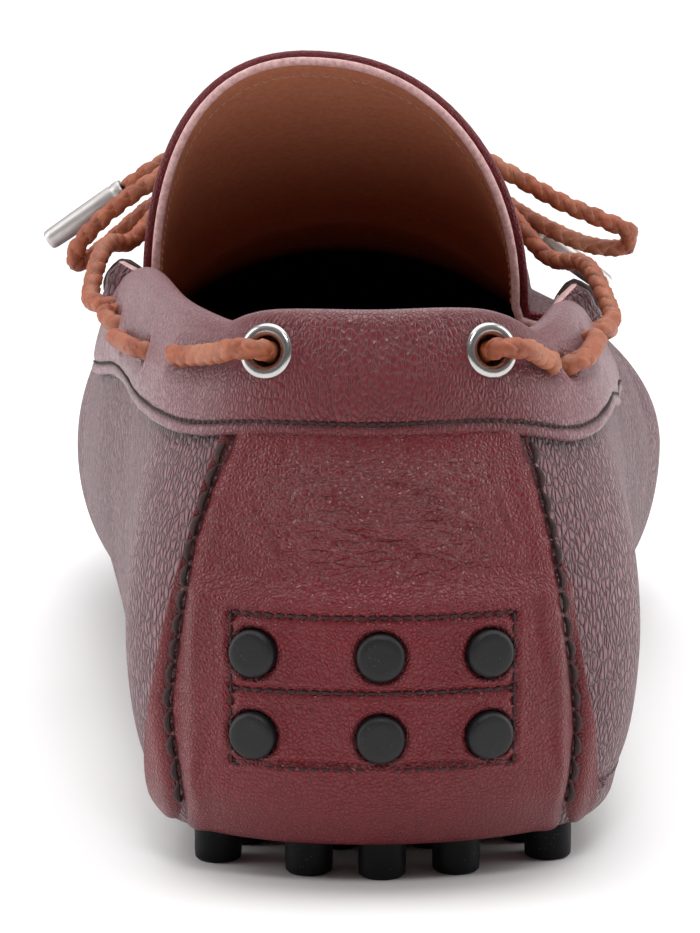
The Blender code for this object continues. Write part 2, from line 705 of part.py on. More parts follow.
def make_outsole(finish, group, holes):
    """The leather sole, turned up round its edge and carried up the back of the heel as a tab."""
    ring = full_ring()
    half = half_ring()
    face = CLEARANCE + SOLE_LEATHER
    turned = turn_up_rise(ring)
    shares = np.linspace(-1, 1, 3)
    parts = [(sole_rows(half, shares, -face), False)]
    rims = [np.full(len(ring), -1.0), -1 + (turned + 1) / 2, turned]
    parts.append((np.array([wall(ring, rise, face + tab_lift(ring, rise))[0] for rise in rims]), True))
    tab = np.mod(ring + TOE, AROUND) - TOE
    tab = np.sort(tab[(tab >= -TAB_FOOT - 1e-6) & (tab <= TAB_FOOT_LATERAL + 1e-6)])
    narrowing = np.where(tab < 0, TAB_TOP / TAB_FOOT, TAB_TOP_LATERAL / TAB_FOOT_LATERAL)
    rows = []
    for share in np.linspace(0, 1, 10):
        at = tab * (1 + (narrowing - 1) * share)
        foot = turn_up_rise(at)
        rise = foot + (rise_below_top(at, BAND_DROP + TAB_GAP) - foot) * share
        rows.append(wall(at, rise, face + tab_lift(at, rise))[0])
    parts.append((np.array(rows), False))
    points, faces = [], []
    for rows, closed in parts:
        count, length = rows.shape[:2]
        base = len(points)
        points.extend(rows.reshape(-1, 3))
        last = length if closed else length - 1
        for r in range(count - 1):
            for c in range(last):
                d = (c + 1) % length
                faces.append((base + r * length + c, base + r * length + d,
                              base + (r + 1) * length + d, base + (r + 1) * length + c))
    mesh = mesh_from("outsole", points, faces)
    face_outwards(mesh, (0.0, 0.4 * LENGTH, 0.5 * COLLAR_HEIGHT))
    obj = add_object("outsole", mesh, finish, group)
    thicken(obj, SOLE_LEATHER, -1)
    cut(obj, holes)


def make_insole(finish, group):
    """The padded board inside, spread out to the wall."""
    shares = np.linspace(-1, 1, 3)
    low = WALL + STUD_PLATE + 4 * CLEARANCE
    grids = [floor_rows(half_ring(), shares, height) for height in (low, low + INSOLE)]
    add_object("insole", slab("insole", *grids), finish, group)


def make_stud_plate(name, span, table, finish, group, studs, holes):
    """A rubber plate inside the leather, with its studs reaching through the leather to the floor."""
    half = half_ring()
    stations = np.union1d(half[(half > span[0]) & (half < span[1])], span)
    shares = np.linspace(-1, 1, 3)
    low = WALL + 2 * CLEARANCE
    grids = [floor_rows(stations, shares, height) for height in (low, low + STUD_PLATE)]
    obj = add_object(name, slab(name, *grids), finish, group)
    down = (0.0, 0.0, -1.0)
    start = -low - STUD_PLATE / 2
    reach = STUD_HEIGHT + SOLE_LEATHER + CLEARANCE
    for number, spot in enumerate(stud_spots(table)):
        pin(f"{name}_stud_{number}", spot, down, start, reach, STUD_RADIUS, STUD_SIDES, studs)
        pin(f"{name}_hole_{number}", spot, down, start, reach, STUD_RADIUS + CLEARANCE, STUD_SIDES, holes)
    join(obj, studs)


def join(obj, group):
    """Adds everything in a collection to an object."""
    union = obj.modifiers.new("studs", "BOOLEAN")
    union.operation = "UNION"
    union.operand_type = "COLLECTION"
    union.collection = group
    union.solver = "EXACT"


def make_back_plate(finish, group, studs, holes):
    """The rubber behind the heel tab, with its six studs."""
    low, high = BACK_PLATE_HEIGHTS
    at = np.linspace(-2.6, 2.6, 105)
    grids = []
    for out in (CLEARANCE, CLEARANCE + STUD_PLATE):
        rows = []
        for height in np.linspace(low, high, 6):
            x = wall(at, rise_at_height(at, height))[0][:, 0]
            places = np.interp(np.linspace(-1, 1, 9) * BACK_PLATE_HALF, x, at)
            rows.append(wall(places, rise_at_height(places, height), out)[0])
        grids.append(np.array(rows))
    obj = add_object("stud_plate_back", slab("stud_plate_back", grids[0], grids[1]), finish, group)
    skin = STUD_PLATE + 3 * CLEARANCE + SOLE_LEATHER
    for number, (point, way) in enumerate(back_spots()):
        inside = CLEARANCE + STUD_PLATE / 2
        pin(f"back_stud_{number}", point, way, inside, skin + BACK_STUD_STAND, STUD_RADIUS, STUD_SIDES, studs)
        pin(f"back_hole_{number}", point, way, inside, skin + BACK_STUD_STAND, STUD_RADIUS + CLEARANCE,
            STUD_SIDES, holes)
    join(obj, studs)


def make_eyelet(name, side, finish, group, holes):
    """A metal ring with a barrel through the band and the wall."""
    point, way = (found[0] for found in lace_line(np.array(RUNS[side][0][:1]), side, 0.0))
    seat = BAND_LEATHER + 3 * CLEARANCE
    pin(name + "_hole", point, way, -2 * WALL, 4 * BAND_LEATHER, EYELET_HOLE, 12, holes)
    barrel = EYELET_HOLE - CLEARANCE
    profile = ((EYELET_BORE, -WALL / 2), (barrel, -WALL / 2), (barrel, seat), (EYELET_RADIUS, seat),
               (EYELET_RADIUS - EYELET_FLANGE / 2, seat + EYELET_FLANGE),
               (EYELET_BORE + EYELET_FLANGE / 2, seat + EYELET_FLANGE), (EYELET_BORE, seat + EYELET_FLANGE / 2))
    turns = np.arange(12) * math.tau / 12
    rings = [[(r * math.cos(a), r * math.sin(a), z) for r, z in profile + profile[:1]] for a in turns]
    mesh = loft(name, rings + rings[:1], closed=False)
    mesh.transform(aim(point, way))
    add_object(name, mesh, finish, group)


def make_lace_bars(finish, group, slits):
    """The runs of lace that show on the collar band, each sunk into the leather at its ends."""
    radius = LACE_DIAMETER / 2
    lying = 2 * CLEARANCE + BAND_LEATHER + radius
    over = lying + EYELET_FLANGE + 2 * CLEARANCE
    for side, side_name in ((LATERAL, "lateral"), (MEDIAL, "medial")):
        for number, (start, end) in enumerate(RUNS[side]):
            first, height = (EYELET_BEND, over) if number == 0 else (SLIT_BEND, lying)
            bends = [(start + step, height + up) for step, up in first]
            bends += [(end - step, lying + up) for step, up in SLIT_BEND[::-1]]
            places, outs = np.array(bends).T
            path = smooth_path(lace_line(places, side, outs)[0], BAR_STEP)
            name = f"lace_bar_{side_name}_{number + 1}"
            cord(name, path, radius, finish, group)
            cord_cutter(name + "_slit", path, radius + CLEARANCE, slits)


def make_front_lace(finish, group, slits):
    """The lace from its last hole on each side up over the wall and the tongue, under the knot."""
    radius = LACE_DIAMETER / 2
    lying = 2 * CLEARANCE + BAND_LEATHER + radius
    sides = []
    for side in (LATERAL, MEDIAL):
        steps, ups = np.array(EXIT_BEND).T
        start = lace_line(EXIT + steps, side, lying + ups)[0]
        climb = [wall(side * at, rise, out)[0] for at, rise, out in CLIMB_WALL]
        cross = [apron_point(at, side * share, out) for at, share, out in CLIMB_APRON]
        sides.append(list(start) + climb + cross)
    middle = apron_point(KNOT_STATION, 0.0, radius + 2 * CLEARANCE)
    path = smooth_path(sides[0] + [middle] + sides[1][::-1], CORD_STEP)
    cord("lace_front", path, radius, finish, group)
    for side, name in ((slice(0, 4), "lace_front_slit_lateral"), (slice(-4, None), "lace_front_slit_medial")):
        cord_cutter(name, path[side], radius + CLEARANCE, slits)


def make_bow(finish, metal, group):
    """The knot, the two loops and the two ends with their metal tips."""
    radius = LACE_DIAMETER / 2
    knot = apron_point(KNOT_STATION, 0.0, 0.0) + np.array([0, 0, KNOT_STAND])
    turns = np.linspace(-0.5, 0.5, 20) * KNOT_TURNS
    pitch = LACE_DIAMETER + 2 * CLEARANCE
    coil = [knot + np.array([pitch * u, KNOT_RADIUS * math.sin(math.tau * u), KNOT_RADIUS * math.cos(math.tau * u)])
            for u in turns]
    cord("lace_knot", np.array(coil), radius, finish, group)
    for name, table in (("lace_loop_lateral", LOOP_LAT), ("lace_loop_medial", LOOP_MED)):
        cord(name, smooth_path(knot + np.array(table) * BALL_WIDTH, LOOP_STEP), radius, finish, group)
    for name, table in (("lateral", END_LAT), ("medial", END_MED)):
        path = smooth_path(knot + np.array(table) * BALL_WIDTH, CORD_STEP)
        cord("lace_end_" + name, path, radius, finish, group)
        way = path[-1] - path[-2]
        way = way / np.linalg.norm(way)
        mesh = pin_mesh("lace_tip_" + name, TIP_RADIUS, TIP_LENGTH, 12, 0.8 * TIP_RADIUS)
        mesh.transform(aim(path[-1] + way * CLEARANCE, way))
        add_object("lace_tip_" + name, mesh, metal, group)


def main():
    clear_scene()
    shoe = collection("driving_moccasin")
    groups = {name: collection(name) for name in (
        "eyelet_holes", "band_holes", "sole_holes", "heel_studs", "ball_studs", "back_studs")}
    plum = material("plum_leather", PLUM, 0.5)
    burgundy = material("burgundy_leather", BURGUNDY, 0.35)
    lining = material("lining_leather", LINING, 0.7)
    rubber = material("black_rubber", RUBBER, 0.6)
    tan = material("tan_lace", TAN, 0.6)
    steel = material("steel", STEEL, 0.3, 1.0)
    for side, name in ((LATERAL, "eyelet_lateral"), (MEDIAL, "eyelet_medial")):
        make_eyelet(name, side, steel, shoe, groups["eyelet_holes"])
    for hole in groups["eyelet_holes"].objects:
        groups["band_holes"].objects.link(hole)
    make_lace_bars(tan, shoe, groups["band_holes"])
    make_front_lace(tan, shoe, groups["band_holes"])
    make_bow(tan, steel, shoe)
    make_apron(plum, shoe)
    make_collar_band(burgundy, shoe, groups["band_holes"])
    make_stud_plate("stud_plate_heel", HEEL_PLATE, HEEL_STUDS, rubber, shoe,
                    groups["heel_studs"], groups["sole_holes"])
    make_stud_plate("stud_plate_ball", BALL_PLATE, BALL_STUDS, rubber, shoe,
                    groups["ball_studs"], groups["sole_holes"])
    make_back_plate(rubber, shoe, groups["back_studs"], groups["sole_holes"])
    make_outsole(burgundy, shoe, groups["sole_holes"])
    make_upper(plum, shoe, (groups["eyelet_holes"], groups["sole_holes"]))
    make_insole(lining, shoe)


main()
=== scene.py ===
import math

import bmesh
import bpy
import numpy as np
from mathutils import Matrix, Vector


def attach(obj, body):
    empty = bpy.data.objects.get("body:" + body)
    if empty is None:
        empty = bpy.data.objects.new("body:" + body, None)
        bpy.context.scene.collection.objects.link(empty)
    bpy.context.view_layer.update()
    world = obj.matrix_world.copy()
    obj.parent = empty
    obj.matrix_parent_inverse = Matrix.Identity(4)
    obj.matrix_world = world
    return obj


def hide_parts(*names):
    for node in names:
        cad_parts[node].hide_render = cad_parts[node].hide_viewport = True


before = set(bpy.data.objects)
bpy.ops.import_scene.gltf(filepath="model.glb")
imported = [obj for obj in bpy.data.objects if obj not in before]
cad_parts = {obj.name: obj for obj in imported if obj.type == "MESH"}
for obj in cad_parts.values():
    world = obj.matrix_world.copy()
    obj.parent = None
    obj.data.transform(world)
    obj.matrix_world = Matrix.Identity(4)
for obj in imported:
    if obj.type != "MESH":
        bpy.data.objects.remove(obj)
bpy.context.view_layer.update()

# The sizes and the table of the last, as in the part's source. Metres.
LENGTH = 0.275
BALL_WIDTH = 0.097
HEEL_WIDTH = 0.068
COLLAR_HEIGHT = 0.077
TONGUE_HEIGHT = 0.102
TOE_SPRING = 0.008
ARCH_RISE = 0.006
WALL = 0.0022
SOLE_LEATHER = 0.0018
BAND_LEATHER = 0.0012
STUD_PLATE = 0.0014
INSOLE = 0.0025
CLEARANCE = 0.0003
FLANGE = 0.0022
LIP_WIDTH = 0.0055
BAND_DROP = 0.0165
SOLE_TURN_UP = 0.0024
TONGUE_LEATHER = 0.0026
LACE_DIAMETER = 0.0032
LACE_DROP = 0.0058
STUD_RADIUS = 0.0032
STUD_HEIGHT = 0.0055
BACK_STUD_STAND = 0.0012
BACK_STUD_HEIGHTS = (0.0222, 0.0327)
BACK_STUD_PLACES = (-0.0150, 0.0000, 0.0131)
BACK_PLATE_HEIGHTS = (0.0160, 0.0375)
BACK_PLATE_HALF = 0.0200
BACK_PLATE_MARGIN = 0.0015
BACK_PLATE_RAMP = 0.0040
EYELET_RADIUS = 0.0037
EYELET_FLANGE = 0.0006
EYELET_BORE = 0.0020
EYELET_BARREL = 0.0024
KNOT_RADIUS = 0.0036
KNOT_TURNS = 1.35
TIP_RADIUS = 0.0018
UNDERSIDE = STUD_HEIGHT + SOLE_LEATHER + CLEARANCE

COLUMNS = ("along", "lateral", "medial", "belly", "foot_in_lat", "foot_in_med",
           "top_in_lat", "top_in_med", "top_lat", "top_med", "turn")
STATIONS = (
    (0.000, 0.000, 0.000, 0.350, 0.080, 0.080, 0.074, 0.074, 1.000, 1.000, 30),
    (0.013, 0.254, 0.246, 0.350, 0.080, 0.080, 0.112, 0.108, 0.990, 0.992, 30),
    (0.049, 0.446, 0.420, 0.350, 0.080, 0.080, 0.188, 0.182, 0.938, 0.955, 31),
    (0.105, 0.535, 0.485, 0.360, 0.082, 0.085, 0.185, 0.158, 0.940, 0.955, 33),
    (0.189, 0.560, 0.494, 0.395, 0.100, 0.125, 0.158, 0.096, 0.925, 0.952, 34),
    (0.291, 0.550, 0.498, 0.440, 0.135, 0.190, 0.126, 0.082, 0.868, 0.942, 36),
    (0.400, 0.506, 0.472, 0.475, 0.165, 0.250, 0.140, 0.100, 0.815, 0.880, 42),
    (0.516, 0.517, 0.440, 0.445, 0.176, 0.245, 0.205, 0.140, 0.765, 0.820, 48),
    (0.618, 0.545, 0.436, 0.390, 0.162, 0.205, 0.250, 0.160, 0.690, 0.720, 52),
    (0.713, 0.550, 0.442, 0.350, 0.147, 0.175, 0.250, 0.170, 0.610, 0.625, 56),
    (0.804, 0.500, 0.418, 0.330, 0.147, 0.155, 0.240, 0.180, 0.545, 0.550, 60),
    (0.889, 0.395, 0.342, 0.325, 0.155, 0.160, 0.228, 0.200, 0.495, 0.497, 63),
    (0.958, 0.255, 0.218, 0.325, 0.165, 0.165, 0.218, 0.210, 0.470, 0.470, 66),
    (0.991, 0.132, 0.098, 0.325, 0.170, 0.170, 0.212, 0.212, 0.458, 0.458, 68),
    (1.000, 0.018, -0.018, 0.325, 0.170, 0.170, 0.212, 0.212, 0.455, 0.455, 68),
)
TOE = len(STATIONS) - 1
AROUND = 2 * TOE
WAIST_SPAN = (0.20, 0.60)
THROAT = 6.15
SEAM_RAMP = 1.50
SEAM_START = THROAT
SEAM_FULL = 6.30
TAB_SAMPLES = 6
TAB_FOOT = 2.50
TAB_TOP = 1.45
TAB_FOOT_LATERAL = TAB_FOOT * (TAB_SAMPLES - 1) / TAB_SAMPLES
TAB_TOP_LATERAL = 1.30
TAB_GAP = 0.0006
# Rows of the apron: station, crown, bow, arch and sway.
APRON = (
    (14.00, 0.000, 0.000, 0.00, 0.00),
    (13.00, 0.004, 0.000, 0.00, 0.00),
    (12.00, 0.030, 0.000, 0.00, 0.00),
    (11.00, 0.062, 0.000, 0.00, 0.00),
    (10.00, 0.088, 0.000, 0.00, 0.00),
    (9.00, 0.115, 0.000, 0.05, -0.01),
    (8.00, 0.155, 0.004, 0.20, -0.03),
    (7.00, 0.242, 0.022, 0.62, -0.10),
    (6.30, 0.390, 0.062, 1.00, -0.16),
)
APRON_EDGE = 0.50
ARCH_HALF = (0.92, 0.845)
ARCH_FULL = (0.94, 0.855)
ARCH_DROP = 0.945
ARCH_PART = 0.80
# Rows of studs: share of the length, how many, reach to the sides and bow of the row.
HEEL_STUDS = (
    (0.036, 5, 0.81, 0.036),
    (0.095, 4, 0.66, 0.012),
    (0.143, 5, 0.84, 0.004),
    (0.190, 4, 0.64, 0.000),
    (0.240, 5, 0.86, -0.004),
)
BALL_STUDS = (
    (0.548, 4, 0.64, 0.006),
    (0.604, 5, 0.76, 0.004),
    (0.660, 5, 0.80, 0.000),
    (0.716, 5, 0.80, 0.000),
    (0.772, 5, 0.78, -0.006),
    (0.828, 4, 0.66, -0.010),
)
# Runs of lace that show on the band, as distances from the middle of the heel along the lace's line.
RUNS_LATERAL = ((0.0153, 0.0295), (0.0350, 0.0520), (0.0800, 0.0980))
RUNS_MEDIAL = ((0.0150, 0.0378), (0.0575, 0.0840), (0.0940, 0.1050))
# How far the lace's line sinks below the top edge, on each side, as shares of LACE_DROP.
LACE_LINE = (
    (0.015, 1.00, 1.00),
    (0.038, 1.20, 1.26),
    (0.055, 1.00, 1.46),
    (0.084, 0.95, 1.80),
    (0.113, 1.00, 1.10),
)
# How the lace dips at its holes: step along the line, and height over where it lies.
SLIT_BEND = ((0.0000, -0.0018), (0.0014, -0.0006), (0.0030, 0.0000), (0.0052, 0.0000))
EYELET_BEND = ((0.0000, -0.0042), (0.0000, -0.0013), (0.0003, 0.0000), (0.0019, 0.0009),
               (0.0044, 0.0010), (0.0074, -0.0004))
EXIT_BEND = ((0.0000, -0.0018), (0.0016, -0.0004), (0.0034, 0.0006))
CORD_STEP = 0.0055
EXIT = 0.1130
CLIMB_WALL = ((6.08, .80, .0050), (6.36, .96, .0062), (6.60, 1.04, .0062))
CLIMB_APRON = ((6.86, .72, .0040), (7.02, .50, .0027), (7.16, .26, .0024))
KNOT_STATION = 7.25
KNOT_STAND = 0.0094
# Routes of the loops and ends from the knot, as shares of BALL_WIDTH.
LOOP_LAT = ((0.048, -0.022, 0.018), (0.140, -0.014, -0.018), (0.230, -0.006, -0.082),
            (0.298, 0.000, -0.122), (0.368, 0.006, -0.162), (0.436, 0.014, -0.192),
            (0.482, 0.024, -0.214), (0.478, 0.036, -0.239), (0.425, 0.042, -0.239),
            (0.360, 0.040, -0.214), (0.278, 0.036, -0.166), (0.180, 0.026, -0.080),
            (0.100, 0.018, -0.012), (0.050, 0.018, 0.018))
LOOP_MED = ((-0.048, -0.022, 0.018), (-0.130, -0.014, -0.016), (-0.215, -0.008, -0.072),
            (-0.295, 0.000, -0.120), (-0.370, 0.008, -0.174), (-0.424, 0.020, -0.234),
            (-0.424, 0.036, -0.264), (-0.380, 0.046, -0.236), (-0.300, 0.042, -0.168),
            (-0.210, 0.034, -0.112), (-0.130, 0.022, -0.044), (-0.085, 0.018, -0.004),
            (-0.050, 0.018, 0.018))
END_LAT = ((0.050, 0.000, -0.024), (0.074, 0.030, -0.041), (0.128, 0.066, -0.076),
           (0.192, 0.084, -0.120), (0.258, 0.090, -0.168), (0.325, 0.095, -0.218))
END_MED = ((-0.050, 0.000, -0.024), (-0.074, 0.030, -0.038), (-0.135, 0.064, -0.056),
           (-0.210, 0.082, -0.076), (-0.285, 0.092, -0.105), (-0.345, 0.102, -0.147))
MEDIAL = -1
LATERAL = 1
RUNS = {LATERAL: RUNS_LATERAL, MEDIAL: RUNS_MEDIAL}
MM = 0.001
SINK = 0.0012  # how far past its solid's place the lace goes in at its holes
FACE = CLEARANCE + SOLE_LEATHER  # the tab's and the sole's face, out of the wall


def column(name):
    """One column of the stations' table."""
    return np.array([row[COLUMNS.index(name)] for row in STATIONS])


def smooth(share):
    """A soft step from 0 to 1."""
    share = np.clip(share, 0.0, 1.0)
    return share * share * (3 - 2 * share)


def hump(off, wide):
    """A soft ridge across a line: 1 on it, falling away over wide."""
    return np.exp(-((off / wide) ** 2))


def closed_spline(knots):
    """A cubic curve through values one step apart on a closed ring: (value, slope) at a position."""
    knots = np.asarray(knots, float)
    count = len(knots)
    bend = 4 * np.eye(count) + np.roll(np.eye(count), 1, 0) + np.roll(np.eye(count), -1, 0)
    curve = np.linalg.solve(bend, 6 * (np.roll(knots, -1) - 2 * knots + np.roll(knots, 1)))

    def read(at):
        at = np.mod(np.asarray(at, float), count)
        low = np.floor(at).astype(int) % count
        high = (low + 1) % count
        part = at - np.floor(at)
        rest = 1 - part
        value = (curve[low] * rest**3 + curve[high] * part**3) / 6
        value = value + (knots[low] - curve[low] / 6) * rest + (knots[high] - curve[high] / 6) * part
        slope = (curve[high] * part**2 - curve[low] * rest**2) / 2
        slope = slope + knots[high] - curve[high] / 6 - knots[low] + curve[low] / 6
        return value, slope

    return read


def around(lateral, medial):
    """A closed curve round the last, from the values of its two sides."""
    return closed_spline(np.concatenate([lateral, medial[TOE - 1 : 0 : -1]]))


def local_width(along):
    share = smooth((along - WAIST_SPAN[0]) / (WAIST_SPAN[1] - WAIST_SPAN[0]))
    return HEEL_WIDTH + (BALL_WIDTH - HEEL_WIDTH) * share


def foot_height(along, medial_share):
    toe = TOE_SPRING * np.clip((along - 0.70) / 0.30, 0, None) ** 1.6
    arch = np.exp(-(((along - 0.40) / 0.105) ** 2)) * ARCH_RISE * (0.35 + 0.65 * medial_share)
    return UNDERSIDE + toe + arch


along = column("along")
width = local_width(along)
FORM = {
    "x": around(column("lateral") * width, -column("medial") * width),
    "y": around(along * LENGTH, along * LENGTH),
    "belly": around(column("belly") * COLLAR_HEIGHT, column("belly") * COLLAR_HEIGHT),
    "foot": around(foot_height(along, 0.0), foot_height(along, 1.0)),
    "foot_in": around(column("foot_in_lat") * HEEL_WIDTH, column("foot_in_med") * HEEL_WIDTH),
    "top_in": around(column("top_in_lat") * HEEL_WIDTH, column("top_in_med") * HEEL_WIDTH),
    "top": around(column("top_lat") * COLLAR_HEIGHT, column("top_med") * COLLAR_HEIGHT),
    "turn": around(np.radians(column("turn")), np.radians(column("turn"))),
}
HEEL_TO_ORIGIN = HEEL_STUDS[0][0] * LENGTH


def wall(at, rise, out=0.0):
    """A point of the upper's outer face, moved outwards by out, and the way out of the face there."""
    at, rise = np.broadcast_arrays(np.asarray(at, float), np.asarray(rise, float))
    (x, dx), (y, dy) = FORM["x"](at), FORM["y"](at)
    speed = np.hypot(dx, dy)
    nx, ny = dy / speed, -dx / speed
    belly, foot, foot_in = FORM["belly"](at)[0], FORM["foot"](at)[0], FORM["foot_in"](at)[0]
    top_in, top, turn = FORM["top_in"](at)[0], FORM["top"](at)[0], FORM["turn"](at)[0]
    low = np.radians(90) * np.clip(1 + rise, 0, 1)
    high = turn * np.clip(rise, 0, None)
    below = rise < 0
    inset = np.where(below, foot_in * (1 - np.sin(low)), top_in * (1 - np.cos(high)) / (1 - np.cos(turn)))
    inset = inset + FLANGE * np.clip(-1 - rise, 0, None)
    height = np.where(below, foot + (belly - foot) * (1 - np.cos(low)),
                      belly + (top - belly) * np.sin(high) / np.sin(turn))
    side = np.where(below, (belly - foot) * np.sin(low), (top - belly) * np.cos(high) / np.sin(turn))
    up = np.where(below, -foot_in * np.cos(low), top_in * np.sin(high) / (1 - np.cos(turn)))
    size = np.hypot(side, up)
    way = np.stack([nx * side / size, ny * side / size, up / size], -1)
    point = np.stack([x - nx * inset, y - ny * inset - HEEL_TO_ORIGIN, height], -1)
    return point + way * np.asarray(out)[..., None], way


def rise_below_top(at, drop):
    """The rise whose distance below the top edge, along the wall, is drop."""
    at = np.asarray(at, float)
    flat = np.atleast_1d(at).ravel()
    drop = np.broadcast_to(drop, np.shape(np.atleast_1d(at))).ravel()
    rises = np.linspace(-1.0, 1.0, 161)
    points = wall(flat[:, None], rises[None, :])[0]
    steps = np.linalg.norm(np.diff(points, axis=1), axis=2)
    from_top = np.concatenate([np.cumsum(steps[:, ::-1], axis=1)[:, ::-1], np.zeros((len(flat), 1))], axis=1)
    found = [np.interp(-wanted, -row, rises) for wanted, row in zip(drop, from_top)]
    return np.array(found).reshape(np.shape(np.atleast_1d(at)))


def rise_at_height(at, height):
    """The rise at which the wall is this far above the floor."""
    belly, foot = FORM["belly"](at)[0], FORM["foot"](at)[0]
    top, turn = FORM["top"](at)[0], FORM["turn"](at)[0]
    low = np.arccos(np.clip(1 - (height - foot) / (belly - foot), 0, 1)) / np.radians(90) - 1
    high = np.arcsin(np.clip((height - belly) * np.sin(turn) / (top - belly), 0, np.sin(turn))) / turn
    return np.where(height < belly, low, high)


def turn_up_rise(at):
    return rise_at_height(at, FORM["foot"](at)[0] + SOLE_TURN_UP)


def from_heel(at):
    """How many stations a place on the ring is from the heel, on either side."""
    at = np.mod(at, AROUND)
    return np.minimum(at, AROUND - at)


def soft_table(stations, column_index):
    """One column of the apron's table as a smooth curve over the stations."""
    rows = np.array(APRON)[::-1]
    knots, values = rows[:, 0], rows[:, column_index]
    slopes = np.gradient(values, knots)
    k = np.clip(np.searchsorted(knots, stations) - 1, 0, len(knots) - 2)
    gap = knots[k + 1] - knots[k]
    u = np.clip((stations - knots[k]) / gap, 0, 1)
    return ((2 * u**3 - 3 * u**2 + 1) * values[k] + (u**3 - 2 * u**2 + u) * gap * slopes[k]
            + (3 * u**2 - 2 * u**3) * values[k + 1] + (u**3 - u**2) * gap * slopes[k + 1])


def apron_rows(stations, shares, soft=False):
    """Points of the apron's outer face: a row for each station, from its medial edge to its lateral edge."""
    stations = np.asarray(stations, float)
    if soft:
        crown, bow, arch, sway = (soft_table(stations, k) for k in (1, 2, 3, 4))
    else:
        listed = np.array(APRON)[::-1]
        crown, bow, arch, sway = (np.interp(stations, listed[:, 0], listed[:, k]) for k in (1, 2, 3, 4))
    turn = np.radians(90) * np.clip(shares / ARCH_PART, -1, 1)
    beyond = np.sign(shares) * np.clip(np.abs(shares) - ARCH_PART, 0, 1) / (1 - ARCH_PART)
    reach, shoulder = (np.where(shares < 0, *pair) for pair in (ARCH_HALF, ARCH_FULL))
    arch_out = reach * np.sign(turn) * np.abs(np.sin(turn)) ** shoulder + (1 - reach) * beyond
    arch_up = np.clip(np.cos(turn), 0, 1) ** ARCH_DROP
    ring = np.stack([AROUND - stations, stations], -1)
    all_edges, all_ways = wall(ring, rise_below_top(ring, APRON_EDGE * LIP_WIDTH))
    rows = []
    for edges, ways, high, back, rounded, lean in zip(all_edges, all_ways, crown, bow, arch, sway):
        edges = edges - ways * CLEARANCE
        half = np.linalg.norm(edges[1] - edges[0]) / 2
        tilt = np.arctan2(ways[:, 2], np.hypot(ways[:, 0], ways[:, 1]))
        slope = np.tan(np.radians(90) - tilt.mean())
        full = np.clip(slope * half / (2 * max(high * TONGUE_HEIGHT, 1e-4)) - 1, -0.2, 1.0)
        dome_up = (1 - shares**2) * (1 + full * shares**2)
        out = rounded * arch_out + (1 - rounded) * shares
        up = rounded * arch_up + (1 - rounded) * dome_up
        out = out + lean * (1 - out**2)
        row = edges[0] + (edges[1] - edges[0]) * (out[:, None] + 1) / 2
        rows.append(row + np.stack([0 * up, -back * LENGTH * up, high * TONGUE_HEIGHT * up], -1))
    return np.array(rows)


def apron_point(station, share, out):
    """A point out from the apron's face."""
    step = 0.05
    (behind, here, ahead) = apron_rows(np.array([station - step, station, station + step]),
                                       np.array([share - step, share, share + step]))
    way = np.cross(here[2] - here[0], ahead[1] - behind[1])
    way = way / np.linalg.norm(way)
    return here[1] + way * (out if way[2] > 0 else -out)


def lace_line(distances, side, outs):
    """Points along the line of the lace at these distances from the middle of the heel."""
    at = np.linspace(0, THROAT, 61) * side
    line = wall(at, rise_below_top(at, LACE_DROP), BAND_LEATHER)[0]
    far = np.concatenate([[0.0], np.cumsum(np.linalg.norm(np.diff(line, axis=0), axis=1))])
    places = np.interp(distances, far, at * side) * side
    listed, lateral, medial = np.array(LACE_LINE).T
    drop = LACE_DROP * np.interp(distances, listed, lateral if side == LATERAL else medial)
    return wall(places, rise_below_top(places, drop), outs)


def across(station):
    return wall(np.array([AROUND - station, station]), -1.0)[0]


def floor_rows(stations, shares, height):
    """Rows across the inside of the upper, from wall to wall, height above the underside."""
    rises = np.linspace(-1.0, 0.0, 41)
    rows = []
    for place in stations:
        edges = []
        for at in (AROUND - place, place):
            level = FORM["foot"](at)[0] + height
            inner = wall(at, rises, -(WALL + 7 * CLEARANCE))[0]
            edges.append([np.interp(level, inner[:, 2], inner[:, k]) for k in (0, 1)] + [level])
        edges = np.array(edges)
        rows.append(edges[0] + (edges[1] - edges[0]) * (np.asarray(shares)[:, None] + 1) / 2)
    return np.array(rows)


def stud_spots(table):
    """Where each stud of a table stands on the underside."""
    reading = np.linspace(0, TOE, 141)
    ahead = FORM["y"](reading)[0] / LENGTH
    spots = []
    for along_share, count, reach, bow in table:
        for side in np.linspace(-1, 1, count):
            station = np.interp(along_share + bow * side * side, ahead, reading)
            medial, lateral = across(station)
            middle, half = (medial + lateral) / 2, (lateral - medial) / 2
            spot = middle + half * side * reach
            spot[1] = (along_share + bow * side * side) * LENGTH - HEEL_TO_ORIGIN
            spots.append(spot)
    return spots


def back_spots():
    """Where each stud of the heel tab stands, and the way it points."""
    at = np.linspace(-2.6, 2.6, 105)
    spots = []
    for height in BACK_STUD_HEIGHTS:
        x = wall(at, rise_at_height(at, height))[0][:, 0]
        for across_heel in BACK_STUD_PLACES:
            place = np.interp(across_heel, x, at)
            point, way = wall(place, rise_at_height(place, height))
            spots.append((point, way))
    return spots


def tab_lift(at, rise):
    """How far the back stud plate lifts the heel tab."""
    point = wall(at, rise)[0]
    low, high = BACK_PLATE_HEIGHTS
    half = BACK_PLATE_HALF + BACK_PLATE_MARGIN
    foot = FORM["foot"](at)[0]
    up = smooth((point[..., 2] - foot) / (low - BACK_PLATE_MARGIN / 2 - foot))
    down = smooth((high + BACK_PLATE_MARGIN + BACK_PLATE_RAMP - point[..., 2]) / BACK_PLATE_RAMP)
    side = smooth((half + BACK_PLATE_RAMP - np.abs(point[..., 0])) / BACK_PLATE_RAMP)
    return (STUD_PLATE + 2 * CLEARANCE) * up * down * side


